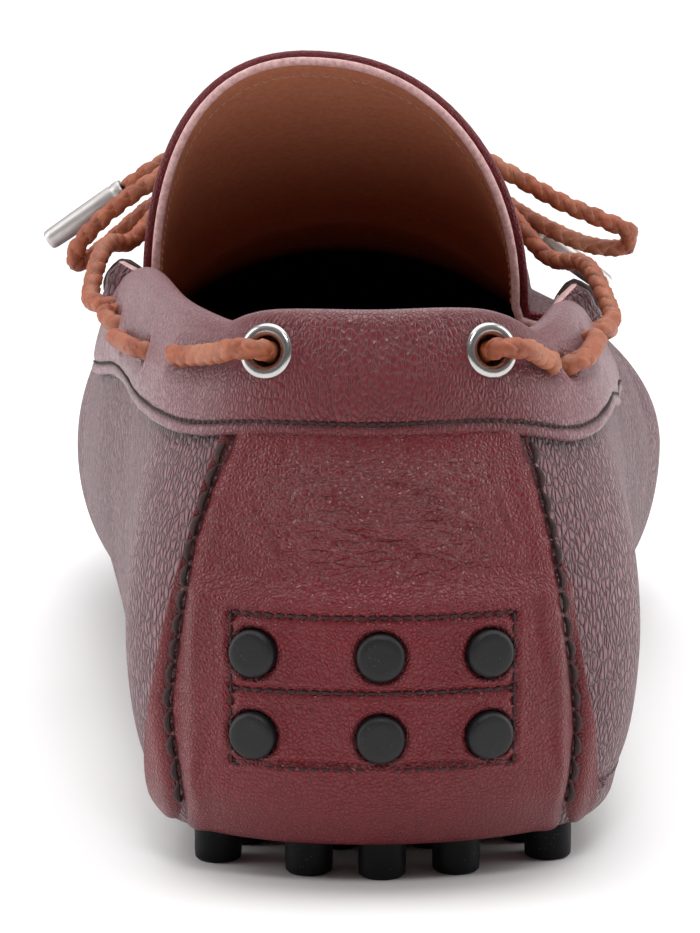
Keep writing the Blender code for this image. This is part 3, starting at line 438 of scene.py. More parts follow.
def smooth_path(points, step):
    """A smooth path through points, with a new point about every step."""
    points = np.asarray(points, float)
    padded = np.concatenate([[2 * points[0] - points[1]], points, [2 * points[-1] - points[-2]]])
    path = []
    for k in range(1, len(padded) - 2):
        p0, p1, p2, p3 = padded[k - 1 : k + 3]
        count = max(1, round(float(np.linalg.norm(p2 - p1)) / step))
        for u in np.arange(count) / count:
            path.append(0.5 * (2 * p1 + (p2 - p0) * u + (2 * p0 - 5 * p1 + 4 * p2 - p3) * u**2
                               + (3 * p1 - p0 - 3 * p2 + p3) * u**3))
    path.append(points[-1])
    return np.array(path)


def unit(v):
    return v / np.maximum(np.linalg.norm(v, axis=-1, keepdims=True), 1e-12)


def lengths(path):
    """Distance along a path at each of its points."""
    return np.concatenate([[0.0], np.cumsum(np.linalg.norm(np.diff(path, axis=0), axis=1))])


def even_path(path, step):
    """The same path with points an even step apart."""
    path = np.asarray(path, float)
    far = lengths(path)
    count = max(4, int(round(far[-1] / step)))
    wanted = np.linspace(0, far[-1], count + 1)
    return np.stack([np.interp(wanted, far, path[:, k]) for k in range(3)], -1)


def path_frames(path):
    """Unit vectors along, beside and over a path, turning as little as they can."""
    ahead = unit(np.gradient(path, axis=0))
    beside = np.cross(ahead[0], (0, 0, 1.0))
    if np.linalg.norm(beside) < 0.1:
        beside = np.cross(ahead[0], (0, 1.0, 0))
    sides = [unit(beside)]
    for way in ahead[1:]:
        side = sides[-1] - way * np.dot(sides[-1], way)
        sides.append(unit(side))
    sides = np.array(sides)
    return ahead, sides, np.cross(ahead, sides)


# Making meshes.

def make_object(name, points, faces, materials, slots=None, attributes=None, sharp=60):
    """A mesh object. slots gives each face its material; attributes are numbers for each point."""
    mesh = bpy.data.meshes.new(name)
    mesh.from_pydata(np.asarray(points, float).reshape(-1, 3).tolist(), [], faces)
    mesh.shade_smooth()
    if sharp:
        mesh.set_sharp_from_angle(angle=math.radians(sharp))
    for finish in materials:
        mesh.materials.append(finish)
    if slots is not None:
        mesh.polygons.foreach_set("material_index", np.asarray(slots, np.int32))
    for key, values in (attributes or {}).items():
        layer = mesh.attributes.new(key, "FLOAT", "POINT")
        layer.data.foreach_set("value", np.asarray(values, np.float32).ravel())
    mesh.update()
    obj = bpy.data.objects.new(name, mesh)
    bpy.context.scene.collection.objects.link(obj)
    return obj


def grid_faces(rows, cols, closed_rows=False, closed_cols=False, base=0, flip=False):
    """Quads of a grid of points stored row by row."""
    r = np.arange(rows if closed_rows else rows - 1)
    c = np.arange(cols if closed_cols else cols - 1)
    r, c = np.meshgrid(r, c, indexing="ij")
    r2, c2 = (r + 1) % rows, (c + 1) % cols
    quads = np.stack([r * cols + c, r * cols + c2, r2 * cols + c2, r2 * cols + c], -1).reshape(-1, 4) + base
    if flip:
        quads = quads[:, ::-1]
    return quads.tolist()


def side_caps(rows, cols):
    """The two faces that close a grid of closed rows at its first and last column."""
    return [[r * cols for r in range(rows)], [r * cols + cols - 1 for r in range(rows)][::-1]]


def tube_caps(rings, sides):
    """The two faces that close a tube at its ends."""
    return [list(range(sides)), list(range((rings - 1) * sides, rings * sides))[::-1]]


def grid_normals(grid):
    """Normals of a grid of points, from its rows and columns."""
    return unit(np.cross(np.gradient(grid, axis=1), np.gradient(grid, axis=0)))


def fix_normals(obj):
    """Turns all faces of a closed mesh outwards."""
    work = bmesh.new()
    work.from_mesh(obj.data)
    bmesh.ops.recalc_face_normals(work, faces=work.faces)
    work.to_mesh(obj.data)
    work.free()


class Builder:
    """Collects many small pieces of mesh for one object."""

    def __init__(self):
        self.points, self.faces, self.total = [], [], 0

    def add(self, points, faces):
        points = np.asarray(points, float).reshape(-1, 3)
        self.faces.extend((np.asarray(face) + self.total).tolist() for face in faces)
        self.points.append(points)
        self.total += len(points)

    def tube(self, path, radii, sides=8):
        """A closed tube along a path."""
        path = np.asarray(path, float)
        _, beside, up = path_frames(path)
        radii = np.broadcast_to(radii, len(path))
        turns = np.arange(sides) * math.tau / sides
        rings = (path[:, None] + beside[:, None] * (np.cos(turns)[None, :, None] * radii[:, None, None])
                 + up[:, None] * (np.sin(turns)[None, :, None] * radii[:, None, None]))
        self.add(rings, grid_faces(len(path), sides, closed_cols=True, flip=True) + tube_caps(len(path), sides))

    def turned(self, profile, start, way, radius, sides, aside):
        """A round form from start along way. Rows of the profile: distance and share of the radius."""
        beside = unit(np.cross(way, aside))
        over = np.cross(way, beside)
        turns = np.arange(sides) * math.tau / sides
        line = np.array([start + way * z for z, _ in profile])
        radii = np.array([share for _, share in profile]) * radius
        rings = (line[:, None] + beside * (np.cos(turns)[None, :, None] * radii[:, None, None])
                 + over * (np.sin(turns)[None, :, None] * radii[:, None, None]))
        self.add(rings, grid_faces(len(line), sides, closed_cols=True, flip=True))

    def make(self, name, materials, sharp=60):
        return make_object(name, np.concatenate(self.points), self.faces, materials, sharp=sharp)


def stitches(builder, path, ways, pitch, long, radius, lift, arch=0.35):
    """Threads laid along a path, each one a short arched strand that dips into the leather at its ends."""
    far = lengths(path)
    count = int(far[-1] / pitch)
    for k in range(count):
        middle = (k + 0.5) * far[-1] / count
        span = middle + np.linspace(-0.5, 0.5, 7) * long
        line = np.stack([np.interp(span, far, path[:, i]) for i in range(3)], -1)
        up = unit(np.stack([np.interp(span, far, ways[:, i]) for i in range(3)], -1))
        bow = 1 - np.linspace(-1, 1, 7) ** 2
        line = line + up * (lift + radius * (arch + 1) * bow - radius * 0.9)[:, None]
        builder.tube(line, radius * (0.55 + 0.45 * np.sqrt(np.clip(bow, 0, 1))), sides=6)


# Materials.

class Nodes:
    """A short way to write a material's nodes."""

    def __init__(self, name):
        self.material = bpy.data.materials.new(name)
        self.material.use_nodes = True
        self.tree = self.material.node_tree
        self.shader = self.tree.nodes["Principled BSDF"]

    def new(self, kind, settings=None, **inputs):
        node = self.tree.nodes.new(kind)
        for key, value in (settings or {}).items():
            setattr(node, key, value)
        for key, value in inputs.items():
            self.put(node, key.replace("_", " "), value)
        return node

    def put(self, node, key, value):
        socket = node.inputs[int(key)] if str(key).isdigit() else node.inputs[key]
        if isinstance(value, bpy.types.NodeSocket):
            self.tree.links.new(value, socket)
        elif isinstance(value, bpy.types.Node):
            self.tree.links.new(value.outputs[0], socket)
        else:
            socket.default_value = value

    def math(self, operation, a, b=None, clamp=False):
        node = self.new("ShaderNodeMath", {"operation": operation, "use_clamp": clamp})
        self.put(node, "0", a)
        if b is not None:
            self.put(node, "1", b)
        return node

    def mix(self, share, a, b, blend="MIX"):
        node = self.new("ShaderNodeMix", {"data_type": "RGBA", "blend_type": blend})
        for key, value in (("0", share), ("6", a), ("7", b)):
            if isinstance(value, tuple):
                value = (*value, 1.0)
            self.put(node, key, value)
        return node.outputs[2]

    def ramp(self, value, stops):
        node = self.new("ShaderNodeValToRGB", Fac=value)
        band = node.color_ramp
        band.elements[0].position, band.elements[0].color = stops[0][0], (*[stops[0][1]] * 3, 1)
        band.elements[1].position, band.elements[1].color = stops[-1][0], (*[stops[-1][1]] * 3, 1)
        for place, level in stops[1:-1]:
            band.elements.new(place).color = (*[level] * 3, 1)
        return node.outputs[0]

    def attribute(self, name):
        return self.new("ShaderNodeAttribute", {"attribute_name": name}).outputs["Fac"]

    def place(self, scale=(1.0, 1.0, 1.0)):
        where = self.new("ShaderNodeTexCoord").outputs["Object"]
        node = self.new("ShaderNodeMapping", Vector=where, Scale=scale)
        return node.outputs[0]

    def noise(self, vector, scale, detail=3.0, rough=0.55):
        return self.new("ShaderNodeTexNoise", Vector=vector, Scale=scale, Detail=detail, Roughness=rough)

    def bump(self, height, strength, distance, normal=None):
        node = self.new("ShaderNodeBump", Height=height, Strength=strength, Distance=distance)
        if normal is not None:
            self.put(node, "Normal", normal)
        return node.outputs[0]

    def finish(self, color, roughness, normal=None, **settings):
        self.put(self.shader, "Base Color", (*color, 1.0) if isinstance(color, tuple) else color)
        self.put(self.shader, "Roughness", roughness)
        if normal is not None:
            self.put(self.shader, "Normal", normal)
        for key, value in settings.items():
            self.put(self.shader, key.replace("_", " "), value)
        return self.material


# Pale pink of painted sheen: it stands in for light grazing the band's sides and for the highlight on its roll.
PAINTED_SHEEN_TINT = (0.300, 0.165, 0.185)


def leather(name, light, dark, pebble, grain_depth, roughness, coat, sheen=0.0, stretch=(1, 1, 1), wrinkle=0.0,
            shine=0.5, crack_shade_share=0.42):
    """Leather with pebbled grain: pebble is the size of a pebble in metres."""
    n = Nodes(name)
    where = n.place(stretch)
    drift = n.noise(where, 260.0, 2.0)
    warped = n.new("ShaderNodeVectorMath", {"operation": "MULTIPLY_ADD"})
    n.put(warped, "0", drift.outputs["Color"])
    n.put(warped, "1", (pebble * 0.9,) * 3)
    n.put(warped, "2", where)
    cells = n.new("ShaderNodeTexVoronoi", {"feature": "DISTANCE_TO_EDGE"}, Vector=warped.outputs[0],
                  Scale=1.0 / pebble, Randomness=1.0)
    mound = n.ramp(cells.outputs["Distance"], ((0.0, 0.0), (0.10, 0.55), (0.35, 1.0)))
    fine = n.noise(where, 2600.0, 3.0, 0.6)
    pores = n.noise(where, 1500.0, 2.0, 0.7)
    broad = n.noise(where, 34.0, 4.0, 0.6)
    patch = n.noise(where, 110.0, 3.0, 0.6)
    tint = n.mix(n.ramp(broad.outputs["Fac"], ((0.30, 0.0), (0.72, 1.0))), light, dark)
    tint = n.mix(n.math("MULTIPLY", n.ramp(patch.outputs["Fac"], ((0.35, 0.0), (0.75, 1.0))), 0.35), tint, dark)
    # Painted sheen: where the pale mark is set, the colour is lifted towards a pale pink.
    tint = n.mix(n.attribute("pale"), tint, PAINTED_SHEEN_TINT)
    # Painted shade: the cracks between the pebbles are darkened, as if shade lay in them.
    painted_crack_shade = n.math("MULTIPLY", n.math("SUBTRACT", 1.0, mound), crack_shade_share)
    tint = n.mix(painted_crack_shade, tint, tuple(c * 0.45 for c in dark))
    pore = n.ramp(pores.outputs["Fac"], ((0.62, 0.0), (0.70, 1.0)))
    tint = n.mix(n.math("MULTIPLY", pore, 0.35), tint, tuple(c * 0.4 for c in dark))
    # Painted shade: the dark mark darkens the colour in grooves, holes, the seam's ditch, stitch lines, round the
    # studs and under the band's edge.
    tint = n.mix(n.attribute("dark"), tint, tuple(c * 0.16 for c in dark))
    height = n.math("ADD", mound, n.math("MULTIPLY", fine.outputs["Fac"], 0.30))
    normal = n.bump(height, 1.0, grain_depth)
    if wrinkle:
        folds = n.new("ShaderNodeTexVoronoi", {"feature": "DISTANCE_TO_EDGE"}, Scale=1.0, Randomness=1.0)
        bent = n.new("ShaderNodeVectorMath", {"operation": "MULTIPLY_ADD"})
        n.put(bent, "0", n.noise(n.place(), 95.0, 3.0).outputs["Color"])
        n.put(bent, "1", (1.1, 0.4, 2.6))
        n.put(bent, "2", n.place((210.0, 120.0, 640.0)))
        n.put(folds, "Vector", bent.outputs[0])
        fold = n.ramp(folds.outputs["Distance"], ((0.0, 0.0), (0.16, 0.8), (0.45, 1.0)))
        normal = n.bump(n.math("MULTIPLY", fold, n.attribute("wrinkle")), 1.0, wrinkle * MM, normal)
    gloss = n.math("ADD", n.math("MULTIPLY", broad.outputs["Fac"], 0.16), roughness - 0.08)
    gloss = n.math("ADD", gloss, n.math("MULTIPLY", n.math("SUBTRACT", 1.0, mound), 0.12), clamp=True)
    coat_weight = n.math("ADD", n.math("MULTIPLY", n.attribute("polish"), 0.35), coat, clamp=True)
    n.put(n.shader, "Coat Normal", normal)
    return n.finish(tint, gloss, normal, Coat_Weight=coat_weight, Coat_Roughness=0.20, Sheen_Weight=sheen,
                    Sheen_Roughness=0.45, Sheen_Tint=(0.95, 0.80, 0.84, 1.0), Specular_IOR_Level=shine)


def suede(name, light, dark, scale=1400.0, deep=None, sheen=0.25):
    """A raw or brushed face of leather. deep is the colour of painted shade far inside the shoe."""
    n = Nodes(name)
    where = n.place()
    nap = n.noise(where, scale, 5.0, 0.7)
    broad = n.noise(where, 70.0, 3.0)
    tint = n.mix(n.ramp(nap.outputs["Fac"], ((0.32, 0.0), (0.70, 1.0))), dark, light)
    tint = n.mix(n.math("MULTIPLY", broad.outputs["Fac"], 0.35), tint, dark)
    # Painted shade: the deep mark darkens the colour towards the toe, far inside the shoe, and the dark mark
    # darkens it where that mark is set.
    if deep is not None:
        tint = n.mix(n.attribute("deep"), tint, deep)
    tint = n.mix(n.attribute("dark"), tint, tuple(c * 0.25 for c in dark))
    normal = n.bump(nap.outputs["Fac"], 1.0, 0.00022)
    return n.finish(tint, 0.92, normal, Sheen_Weight=sheen, Sheen_Roughness=0.6, Specular_IOR_Level=0.12)


def lace_leather(name, light, dark):
    """Tan leather with streaks and paler worn patches."""
    n = Nodes(name)
    where = n.place()
    streak = n.noise(where, 420.0, 4.0, 0.65)
    patch = n.noise(where, 120.0, 2.0)
    tint = n.mix(n.ramp(streak.outputs["Fac"], ((0.30, 0.0), (0.72, 1.0))), dark, light)
    tint = n.mix(n.math("MULTIPLY", n.ramp(patch.outputs["Fac"], ((0.42, 0.0), (0.66, 1.0))), 0.40), tint,
                 (0.46, 0.21, 0.115))
    normal = n.bump(streak.outputs["Fac"], 0.8, 0.00025)
    return n.finish(tint, 0.55, normal, Coat_Weight=0.08, Coat_Roughness=0.35)


def rubber(name, shine):
    """Black rubber with a few specks of dust."""
    n = Nodes(name)
    where = n.place()
    bits = n.new("ShaderNodeTexVoronoi", {"feature": "F1"}, Vector=where, Scale=1700.0, Randomness=1.0)
    cloud = n.noise(where, 260.0, 3.0)
    keep = n.math("MULTIPLY", n.ramp(bits.outputs["Distance"], ((0.10, 1.0), (0.16, 0.0))),
                  n.ramp(cloud.outputs["Fac"], ((0.52, 0.0), (0.60, 1.0))))
    tint = n.mix(n.math("MULTIPLY", cloud.outputs["Fac"], 0.5), (0.004, 0.004, 0.005), (0.009, 0.008, 0.010))
    tint = n.mix(n.math("MULTIPLY", keep, 0.40), tint, (0.16, 0.14, 0.14))
    fine = n.noise(where, 2200.0, 3.0)
    normal = n.bump(fine.outputs["Fac"], 0.5, 0.0001)
    return n.finish(tint, 0.50, normal, Specular_IOR_Level=shine)


def metal(name, color, roughness, brushed=(1, 1, 1)):
    """Metal with fine scratches."""
    n = Nodes(name)
    scratch = n.noise(n.place(brushed), 900.0, 4.0, 0.7)
    gloss = n.math("ADD", n.math("MULTIPLY", scratch.outputs["Fac"], 0.22), roughness - 0.08)
    tint = n.mix(n.math("MULTIPLY", scratch.outputs["Fac"], 0.4), color, tuple(c * 0.78 for c in color))
    normal = n.bump(scratch.outputs["Fac"], 0.35, 0.00006)
    return n.finish(tint, gloss, normal, Metallic=1.0)


def thread(name, light, dark):
    """Twisted thread."""
    n = Nodes(name)
    twist = n.noise(n.place(), 3000.0, 2.0)
    tint = n.mix(twist.outputs["Fac"], dark, light)
    return n.finish(tint, 0.7, n.bump(twist.outputs["Fac"], 0.5, 0.0001))


# The side leather's dusty plum is partly its own colour and partly painted sheen of light grazing the sides.
SIDE = leather("side_leather", (0.215, 0.070, 0.084), (0.120, 0.026, 0.036), 0.00086, 0.00060, 0.46, 0.10, 0.22,
               stretch=(1.0, 1.0, 0.50), crack_shade_share=0.80)
BAND = leather("band_leather", (0.175, 0.018, 0.026), (0.115, 0.010, 0.015), 0.00058, 0.00014, 0.38, 0.14, 0.05,
               stretch=(1.0, 1.0, 0.50), shine=0.32, crack_shade_share=0.6)
TAB = leather("tab_leather", (0.185, 0.011, 0.018), (0.120, 0.006, 0.010), 0.00062, 0.00012, 0.31, 0.14, 0.0,
              wrinkle=0.30, shine=0.28)
RAW = suede("raw_edge", (0.84, 0.56, 0.54), (0.46, 0.24, 0.24), 1100.0)
# The near-black last colours of the lining and the insole are painted shade deep inside, towards the toe.
LINING = suede("lining_leather", (0.60, 0.245, 0.142), (0.47, 0.168, 0.092), 900.0, (0.0012, 0.0003, 0.0006), 0.0)
SOCK = suede("insole_leather", (0.18, 0.065, 0.035), (0.12, 0.040, 0.020), 1100.0, (0.0010, 0.0004, 0.0006), 0.0)
TAN = lace_leather("tan_lace", (0.380, 0.088, 0.027), (0.170, 0.030, 0.008))
BLACK = rubber("black_rubber", 0.35)
BLACK_UNDER = rubber("black_rubber_under", 0.12)
STEEL = metal("steel", (0.50, 0.48, 0.47), 0.20)
TIP_METAL = metal("tip_steel", (0.52, 0.49, 0.48), 0.42, (1, 1, 0.2))
DARK_THREAD = thread("dark_thread", (0.030, 0.006, 0.007), (0.010, 0.003, 0.003))
BROWN_THREAD = thread("brown_thread", (0.600, 0.330, 0.210), (0.400, 0.200, 0.120))
RED_THREAD = thread("red_thread", (0.040, 0.008, 0.008), (0.014, 0.004, 0.004))


# Camera, floor and light.

def set_stage():
    """The camera of the photo, a pale floor, a white surrounding and soft lamps."""
    eye = Vector((-0.0258, -0.6283 - HEEL_TO_ORIGIN, 0.1681))
    view = Vector((0.0344, 0.9842, -0.1736)).normalized()
    lens = bpy.data.cameras.new("camera")
    lens.lens = 190.0
    lens.sensor_width = 36.0
    lens.clip_start = 0.01
    camera = bpy.data.objects.new("camera", lens)
    camera.location = eye
    camera.rotation_euler = view.to_track_quat("-Z", "Y").to_euler()
    bpy.context.scene.collection.objects.link(camera)
    bpy.context.scene.camera = camera

    n = Nodes("pale_floor")
    grain = n.noise(n.place(), 40.0, 2.0)
    tint = n.mix(n.math("MULTIPLY", grain.outputs["Fac"], 0.3), (0.96, 0.96, 0.96), (0.94, 0.94, 0.945))
    pale = n.finish(tint, 0.6)
    size = 3.0
    corners = [(-size, -size, 0), (size, -size, 0), (size, size, 0), (-size, size, 0)]
    floor = make_object("floor", corners, [[0, 1, 2, 3]], [pale])

    world = bpy.data.worlds.new("studio")
    world.use_nodes = True
    tree = world.node_tree
    toward = tree.nodes.new("ShaderNodeTexCoord")
    split = tree.nodes.new("ShaderNodeSeparateXYZ")
    fall = tree.nodes.new("ShaderNodeMapRange")
    tree.links.new(toward.outputs["Generated"], split.inputs[0])
    tree.links.new(split.outputs["Y"], fall.inputs["Value"])
    for key, value in (("From Min", -0.75), ("From Max", 0.10), ("To Min", 0.16), ("To Max", 0.62)):
        fall.inputs[key].default_value = value
    tree.links.new(fall.outputs["Result"], tree.nodes["Background"].inputs["Strength"])
    tree.nodes["Background"].inputs["Color"].default_value = (1.0, 1.0, 1.0, 1.0)
    bpy.context.scene.world = world
    bpy.context.scene.view_settings.view_transform = "Standard"

    sky = bpy.data.lights.new("overhead", "SUN")
    sky.energy = 2.1
    sky.angle = math.radians(70)
    overhead = bpy.data.objects.new("overhead", sky)
    overhead.rotation_euler = (math.radians(-12), 0.0, 0.0)
    bpy.context.scene.collection.objects.link(overhead)

    # name, place, aim, width and height, power
    lamps = (
        ("back", (0.05, -0.75, 0.95), (0.0, 0.0, 0.04), (0.30, 0.16), 3.2),
        ("left", (-0.80, 0.10, 0.30), (0.0, 0.04, 0.04), (0.5, 0.9), 4.0),
        ("right", (0.80, 0.12, 0.32), (0.0, 0.04, 0.04), (0.5, 0.9), 4.0),
    )
    for name, place, target, (wide, high), power in lamps:
        light = bpy.data.lights.new(name, "AREA")
        light.shape = "RECTANGLE"
        light.size, light.size_y, light.energy = wide, high, power
        lamp = bpy.data.objects.new(name, light)
        lamp.location = place
        lamp.rotation_euler = (Vector(target) - Vector(place)).to_track_quat("-Z", "Y").to_euler()
        bpy.context.scene.collection.objects.link(lamp)


# The braided lace: four flat strands, two wound each way, each over one and under the next.

BRAID_PITCH = 0.0062
BRAID_STEPS = 20
BRAID_CORE = 0.00108
BRAID_WEAVE = 0.00014
STRAND_HALF_WIDTH = 0.00122
STRAND_HALF_THICK = 0.00034
STRAND_SIDES = 10


def braid(builder, path, twist=0.0):
    """Adds a braided lace along a path and returns the evenly spaced centreline."""
    line = even_path(path, BRAID_PITCH / BRAID_STEPS)
    ahead, beside, up = path_frames(line)
    far = lengths(line)
    slant = math.atan2(math.tau * BRAID_CORE, BRAID_PITCH)
    turns = np.arange(STRAND_SIDES) * math.tau / STRAND_SIDES
    flat_out = np.sign(np.cos(turns)) * np.abs(np.cos(turns)) ** 0.75 * STRAND_HALF_WIDTH
    thick = np.sin(turns) * STRAND_HALF_THICK
    ends = np.clip(np.minimum(far, far[-1] - far) / (0.35 * LACE_DIAMETER), 0.0, 1.0)
    taper = 0.72 + 0.28 * np.sqrt(ends)
    for number in range(4):
        way = 1 if number % 2 == 0 else -1
        phase = math.pi * (number // 2) + twist
        angle = way * math.tau * far / BRAID_PITCH + phase + (0 if way == 1 else -2 * twist)
        over = way * np.cos(2 * math.tau * far / BRAID_PITCH)
        radius = (BRAID_CORE + BRAID_WEAVE * over) * taper
        round_angle = angle[:, None] + flat_out[None, :] * math.cos(slant) / BRAID_CORE
        shift = -way * flat_out[None, :] * math.sin(slant) * np.ones((len(line), 1))
        edge = 1 - 0.22 * (flat_out / STRAND_HALF_WIDTH) ** 2
        reach = (radius[:, None] + thick[None, :]) * edge[None, :]
        rings = (line[:, None] + ahead[:, None] * shift[..., None]
                 + beside[:, None] * (np.cos(round_angle) * reach)[..., None]
                 + up[:, None] * (np.sin(round_angle) * reach)[..., None])
        faces = grid_faces(len(line), STRAND_SIDES, closed_cols=True, flip=True)
        builder.add(rings, faces + tube_caps(len(line), STRAND_SIDES))
    builder.tube(line, (BRAID_CORE + 0.0001) * taper)
    return line


CORD_DETAIL = 0.002  # the scene's step along the routes, finer than the solids' CORD_STEP


def make_cords():
    """The knot, its loops and its ends with their tips."""
    knot = apron_point(KNOT_STATION, 0.0, 0.0) + np.array([0, 0, KNOT_STAND])
    turns = np.linspace(-0.5, 0.5, 40) * KNOT_TURNS
    pitch = LACE_DIAMETER + 2 * CLEARANCE
    coil = np.array([knot + np.array([pitch * u, KNOT_RADIUS * math.sin(math.tau * u),
                                      KNOT_RADIUS * math.cos(math.tau * u)]) for u in turns])
    routes = {"lace_knot": (coil, "object", ())}
    for name, table in (("lace_loop_lateral", LOOP_LAT), ("lace_loop_medial", LOOP_MED)):
        routes[name] = (smooth_path(knot + np.array(table) * BALL_WIDTH, CORD_DETAIL), "object", ())
    for name, table in (("lateral", END_LAT), ("medial", END_MED)):
        coarse = smooth_path(knot + np.array(table) * BALL_WIDTH, CORD_STEP)
        tip = make_tip(name, coarse[-1], unit(coarse[-1] - coarse[-2]))
        path = smooth_path(knot + np.array(table) * BALL_WIDTH, CORD_DETAIL)
        routes["lace_end_" + name] = (path, "fitting", (tip,))
    for name, (path, far_end, extra) in routes.items():
        parts = Builder()
        line = braid(parts, path)
        obj = parts.make(name + "_braid", [TAN], sharp=0)
        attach(obj, "root")
        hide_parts(name)


def make_tip(side, point, way):
    """A round metal tip, crimped at the lace's end and closed at the other."""
    profile = ((0.0000, 0.60), (0.0000, 0.94), (0.0003, 1.02), (0.0013, 1.03), (0.0016, 0.97), (0.0019, 0.97),
               (0.0022, 1.02), (0.0060, 1.00), (0.0100, 0.97), (0.0140, 0.92), (0.0147, 0.88), (0.0150, 0.78),
               (0.0150, 0.0))
    parts = Builder()
    parts.turned(profile, point + way * CLEARANCE, way, TIP_RADIUS, 32, (0, 0, 1.0))
    obj = parts.make(f"tip_{side}", [TIP_METAL], sharp=50)
    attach(obj, "root")
    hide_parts("lace_tip_" + side)
    return obj


# The wall of the upper.

def ring_places(count, start=0.0, end=AROUND, closed=True):
    """Positions round the ring, evenly spaced along the widest line."""
    dense = np.linspace(start, end, 3001)
    line = np.stack([FORM["x"](dense)[0], FORM["y"](dense)[0], 0 * dense], -1)
    far = lengths(line)
    return np.interp(np.linspace(0, far[-1], count, endpoint=not closed), far, dense)


def side_waves(at, rise):
    """Soft hollows and swellings of the side leather. Rows: position, rise, spans of both, how far out."""
    rows = (
        (2.9, 0.10, 0.45, 0.35, 0.0005), (-2.9, 0.10, 0.45, 0.35, 0.0004), (4.6, 0.45, 0.50, 0.22, -0.0005),
        (-4.5, 0.42, 0.55, 0.24, -0.0005), (5.4, 0.20, 0.40, 0.35, 0.0006), (-5.6, 0.25, 0.40, 0.35, 0.0005),
        (7.3, 0.30, 0.18, 0.55, -0.0009), (-7.3, 0.32, 0.18, 0.55, -0.0008), (7.75, 0.25, 0.20, 0.50, 0.0006),
        (-7.75, 0.25, 0.20, 0.50, 0.0006), (8.2, 0.28, 0.15, 0.50, -0.0007), (-8.15, 0.30, 0.15, 0.50, -0.0007),
        (3.6, -0.45, 0.60, 0.22, 0.0004), (-3.7, -0.45, 0.60, 0.22, 0.0004),
    )
    centred = np.mod(at + TOE, AROUND) - TOE
    total = 0.0
    for place, high, wide, tall, out in rows:
        total = total + out * np.exp(-(((centred - place) / wide) ** 2) - ((rise - high) / tall) ** 2)
    return total


def seam_out(at, drop):
    """How far the wall stands out along the sewn seam over the forefoot, and where that seam is."""
    share = np.clip((SEAM_RAMP * LIP_WIDTH - drop) / ((SEAM_RAMP - 1) * LIP_WIDTH), 0, 1)
    begin = smooth((from_heel(at) - SEAM_START) / (SEAM_FULL - SEAM_START))
    return (TONGUE_LEATHER + 2 * CLEARANCE) * smooth(share) * begin, begin


PUCKER_PITCH = 0.0042
UNDER_BAND_DROP = 0.0016  # how far the wall's edge stays below the band's roll


def seam_distance(at):
    """Distance along the top edge from the throat, for the puckers and stitches of the seam."""
    dense = np.linspace(SEAM_START, TOE, 400)
    far = lengths(wall(dense, 1.0)[0])
    lateral = np.interp(from_heel(at), dense, far)
    return np.where(np.mod(at, AROUND) > TOE, 2 * far[-1] - lateral, lateral)


def make_upper():
    """The wall of leather with its lining, rolled at the top and turned in underneath."""
    at = ring_places(640)
    under_band = 1 - smooth((from_heel(at) - (THROAT - 0.30)) / 0.28)
    top = rise_below_top(at, UNDER_BAND_DROP * under_band)
    share = np.concatenate([np.linspace(0, 0.75, 46), np.linspace(0.75, 1, 25)[1:]])
    grid_rise = -1 + (top[None, :] + 1) * share[:, None]
    grid_at = np.broadcast_to(at, grid_rise.shape)
    base = wall(grid_at, grid_rise)[0]
    steps = np.linalg.norm(np.diff(base, axis=0), axis=2)
    drop = np.concatenate([np.cumsum(steps[::-1], axis=0)[::-1], np.zeros((1, len(at)))])
    drop = drop + UNDER_BAND_DROP * under_band[None, :]
    step, begin = seam_out(grid_at, drop)
    pucker = 0.5 + 0.5 * np.cos(math.tau * seam_distance(at) / PUCKER_PITCH)
    bead = hump(drop - 0.0022, 0.0016) * begin
    step = step + bead * (0.0003 + 0.0005 * pucker[None, :])
    ditch = hump(drop - 1.25 * LIP_WIDTH, 0.0012) * begin
    step = step - ditch * 0.0003 * pucker[None, :]
    out = step + side_waves(grid_at, grid_rise)
    outer = wall(grid_at, grid_rise, out)[0]
    roll = [wall(at, top + lift * 8, out[-1] * (1 - part) - WALL * part + 0 * at)[0]
            for lift, part in ((0.0016, 0.10), (0.0024, 0.5), (0.0016, 0.90))]
    inner_share = np.linspace(1, 0, 30)
    inner_rise = -1 + (top[None, :] + 1) * inner_share[:, None]
    inner = wall(np.broadcast_to(at, inner_rise.shape), inner_rise, np.full(inner_rise.shape, -WALL))[0]
    flange = [wall(at, np.full(len(at), -1.8), np.full(len(at), -WALL))[0],
              wall(at, np.full(len(at), -1.8), np.zeros(len(at)))[0]]
    rows = np.concatenate([outer, np.array(roll), inner, np.array(flange)])
    count = len(rows)
    faces = grid_faces(count, len(at), closed_rows=True, closed_cols=True, flip=True)
    slots = np.zeros((count, len(at)), int)
    first_roll = len(outer) - 1
    slots[first_roll : first_roll + 4] = 2
    slots[first_roll + 4 : first_roll + 4 + len(inner_share) - 1] = 1
    # Painted shade in the seam's ditch at its puckers, and a painted shadow under the band's lower edge.
    dark = np.zeros((count, len(at)))
    dark[: len(outer)] = np.clip(0.5 * ditch * (0.4 + 0.6 * pucker[None, :]), 0, 1)
    under_edge = hump(np.clip(BAND_DROP + 0.0002 - drop, -1, 0), 0.0006)
    under_edge = under_edge * (from_heel(grid_at) < THROAT) * 0.8
    dark[: len(outer)] = np.maximum(dark[: len(outer)], under_edge)
    # Painted shade: the lining darkens towards the toe.
    deep = smooth((rows[..., 1] - 0.112) / 0.03)
    obj = make_object("upper_leather", rows, faces, [SIDE, LINING, RAW], slots.ravel(),
                      {"dark": dark, "deep": deep})
    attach(obj, "root")
    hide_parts("upper")


# The collar band, rolled over the top edge.

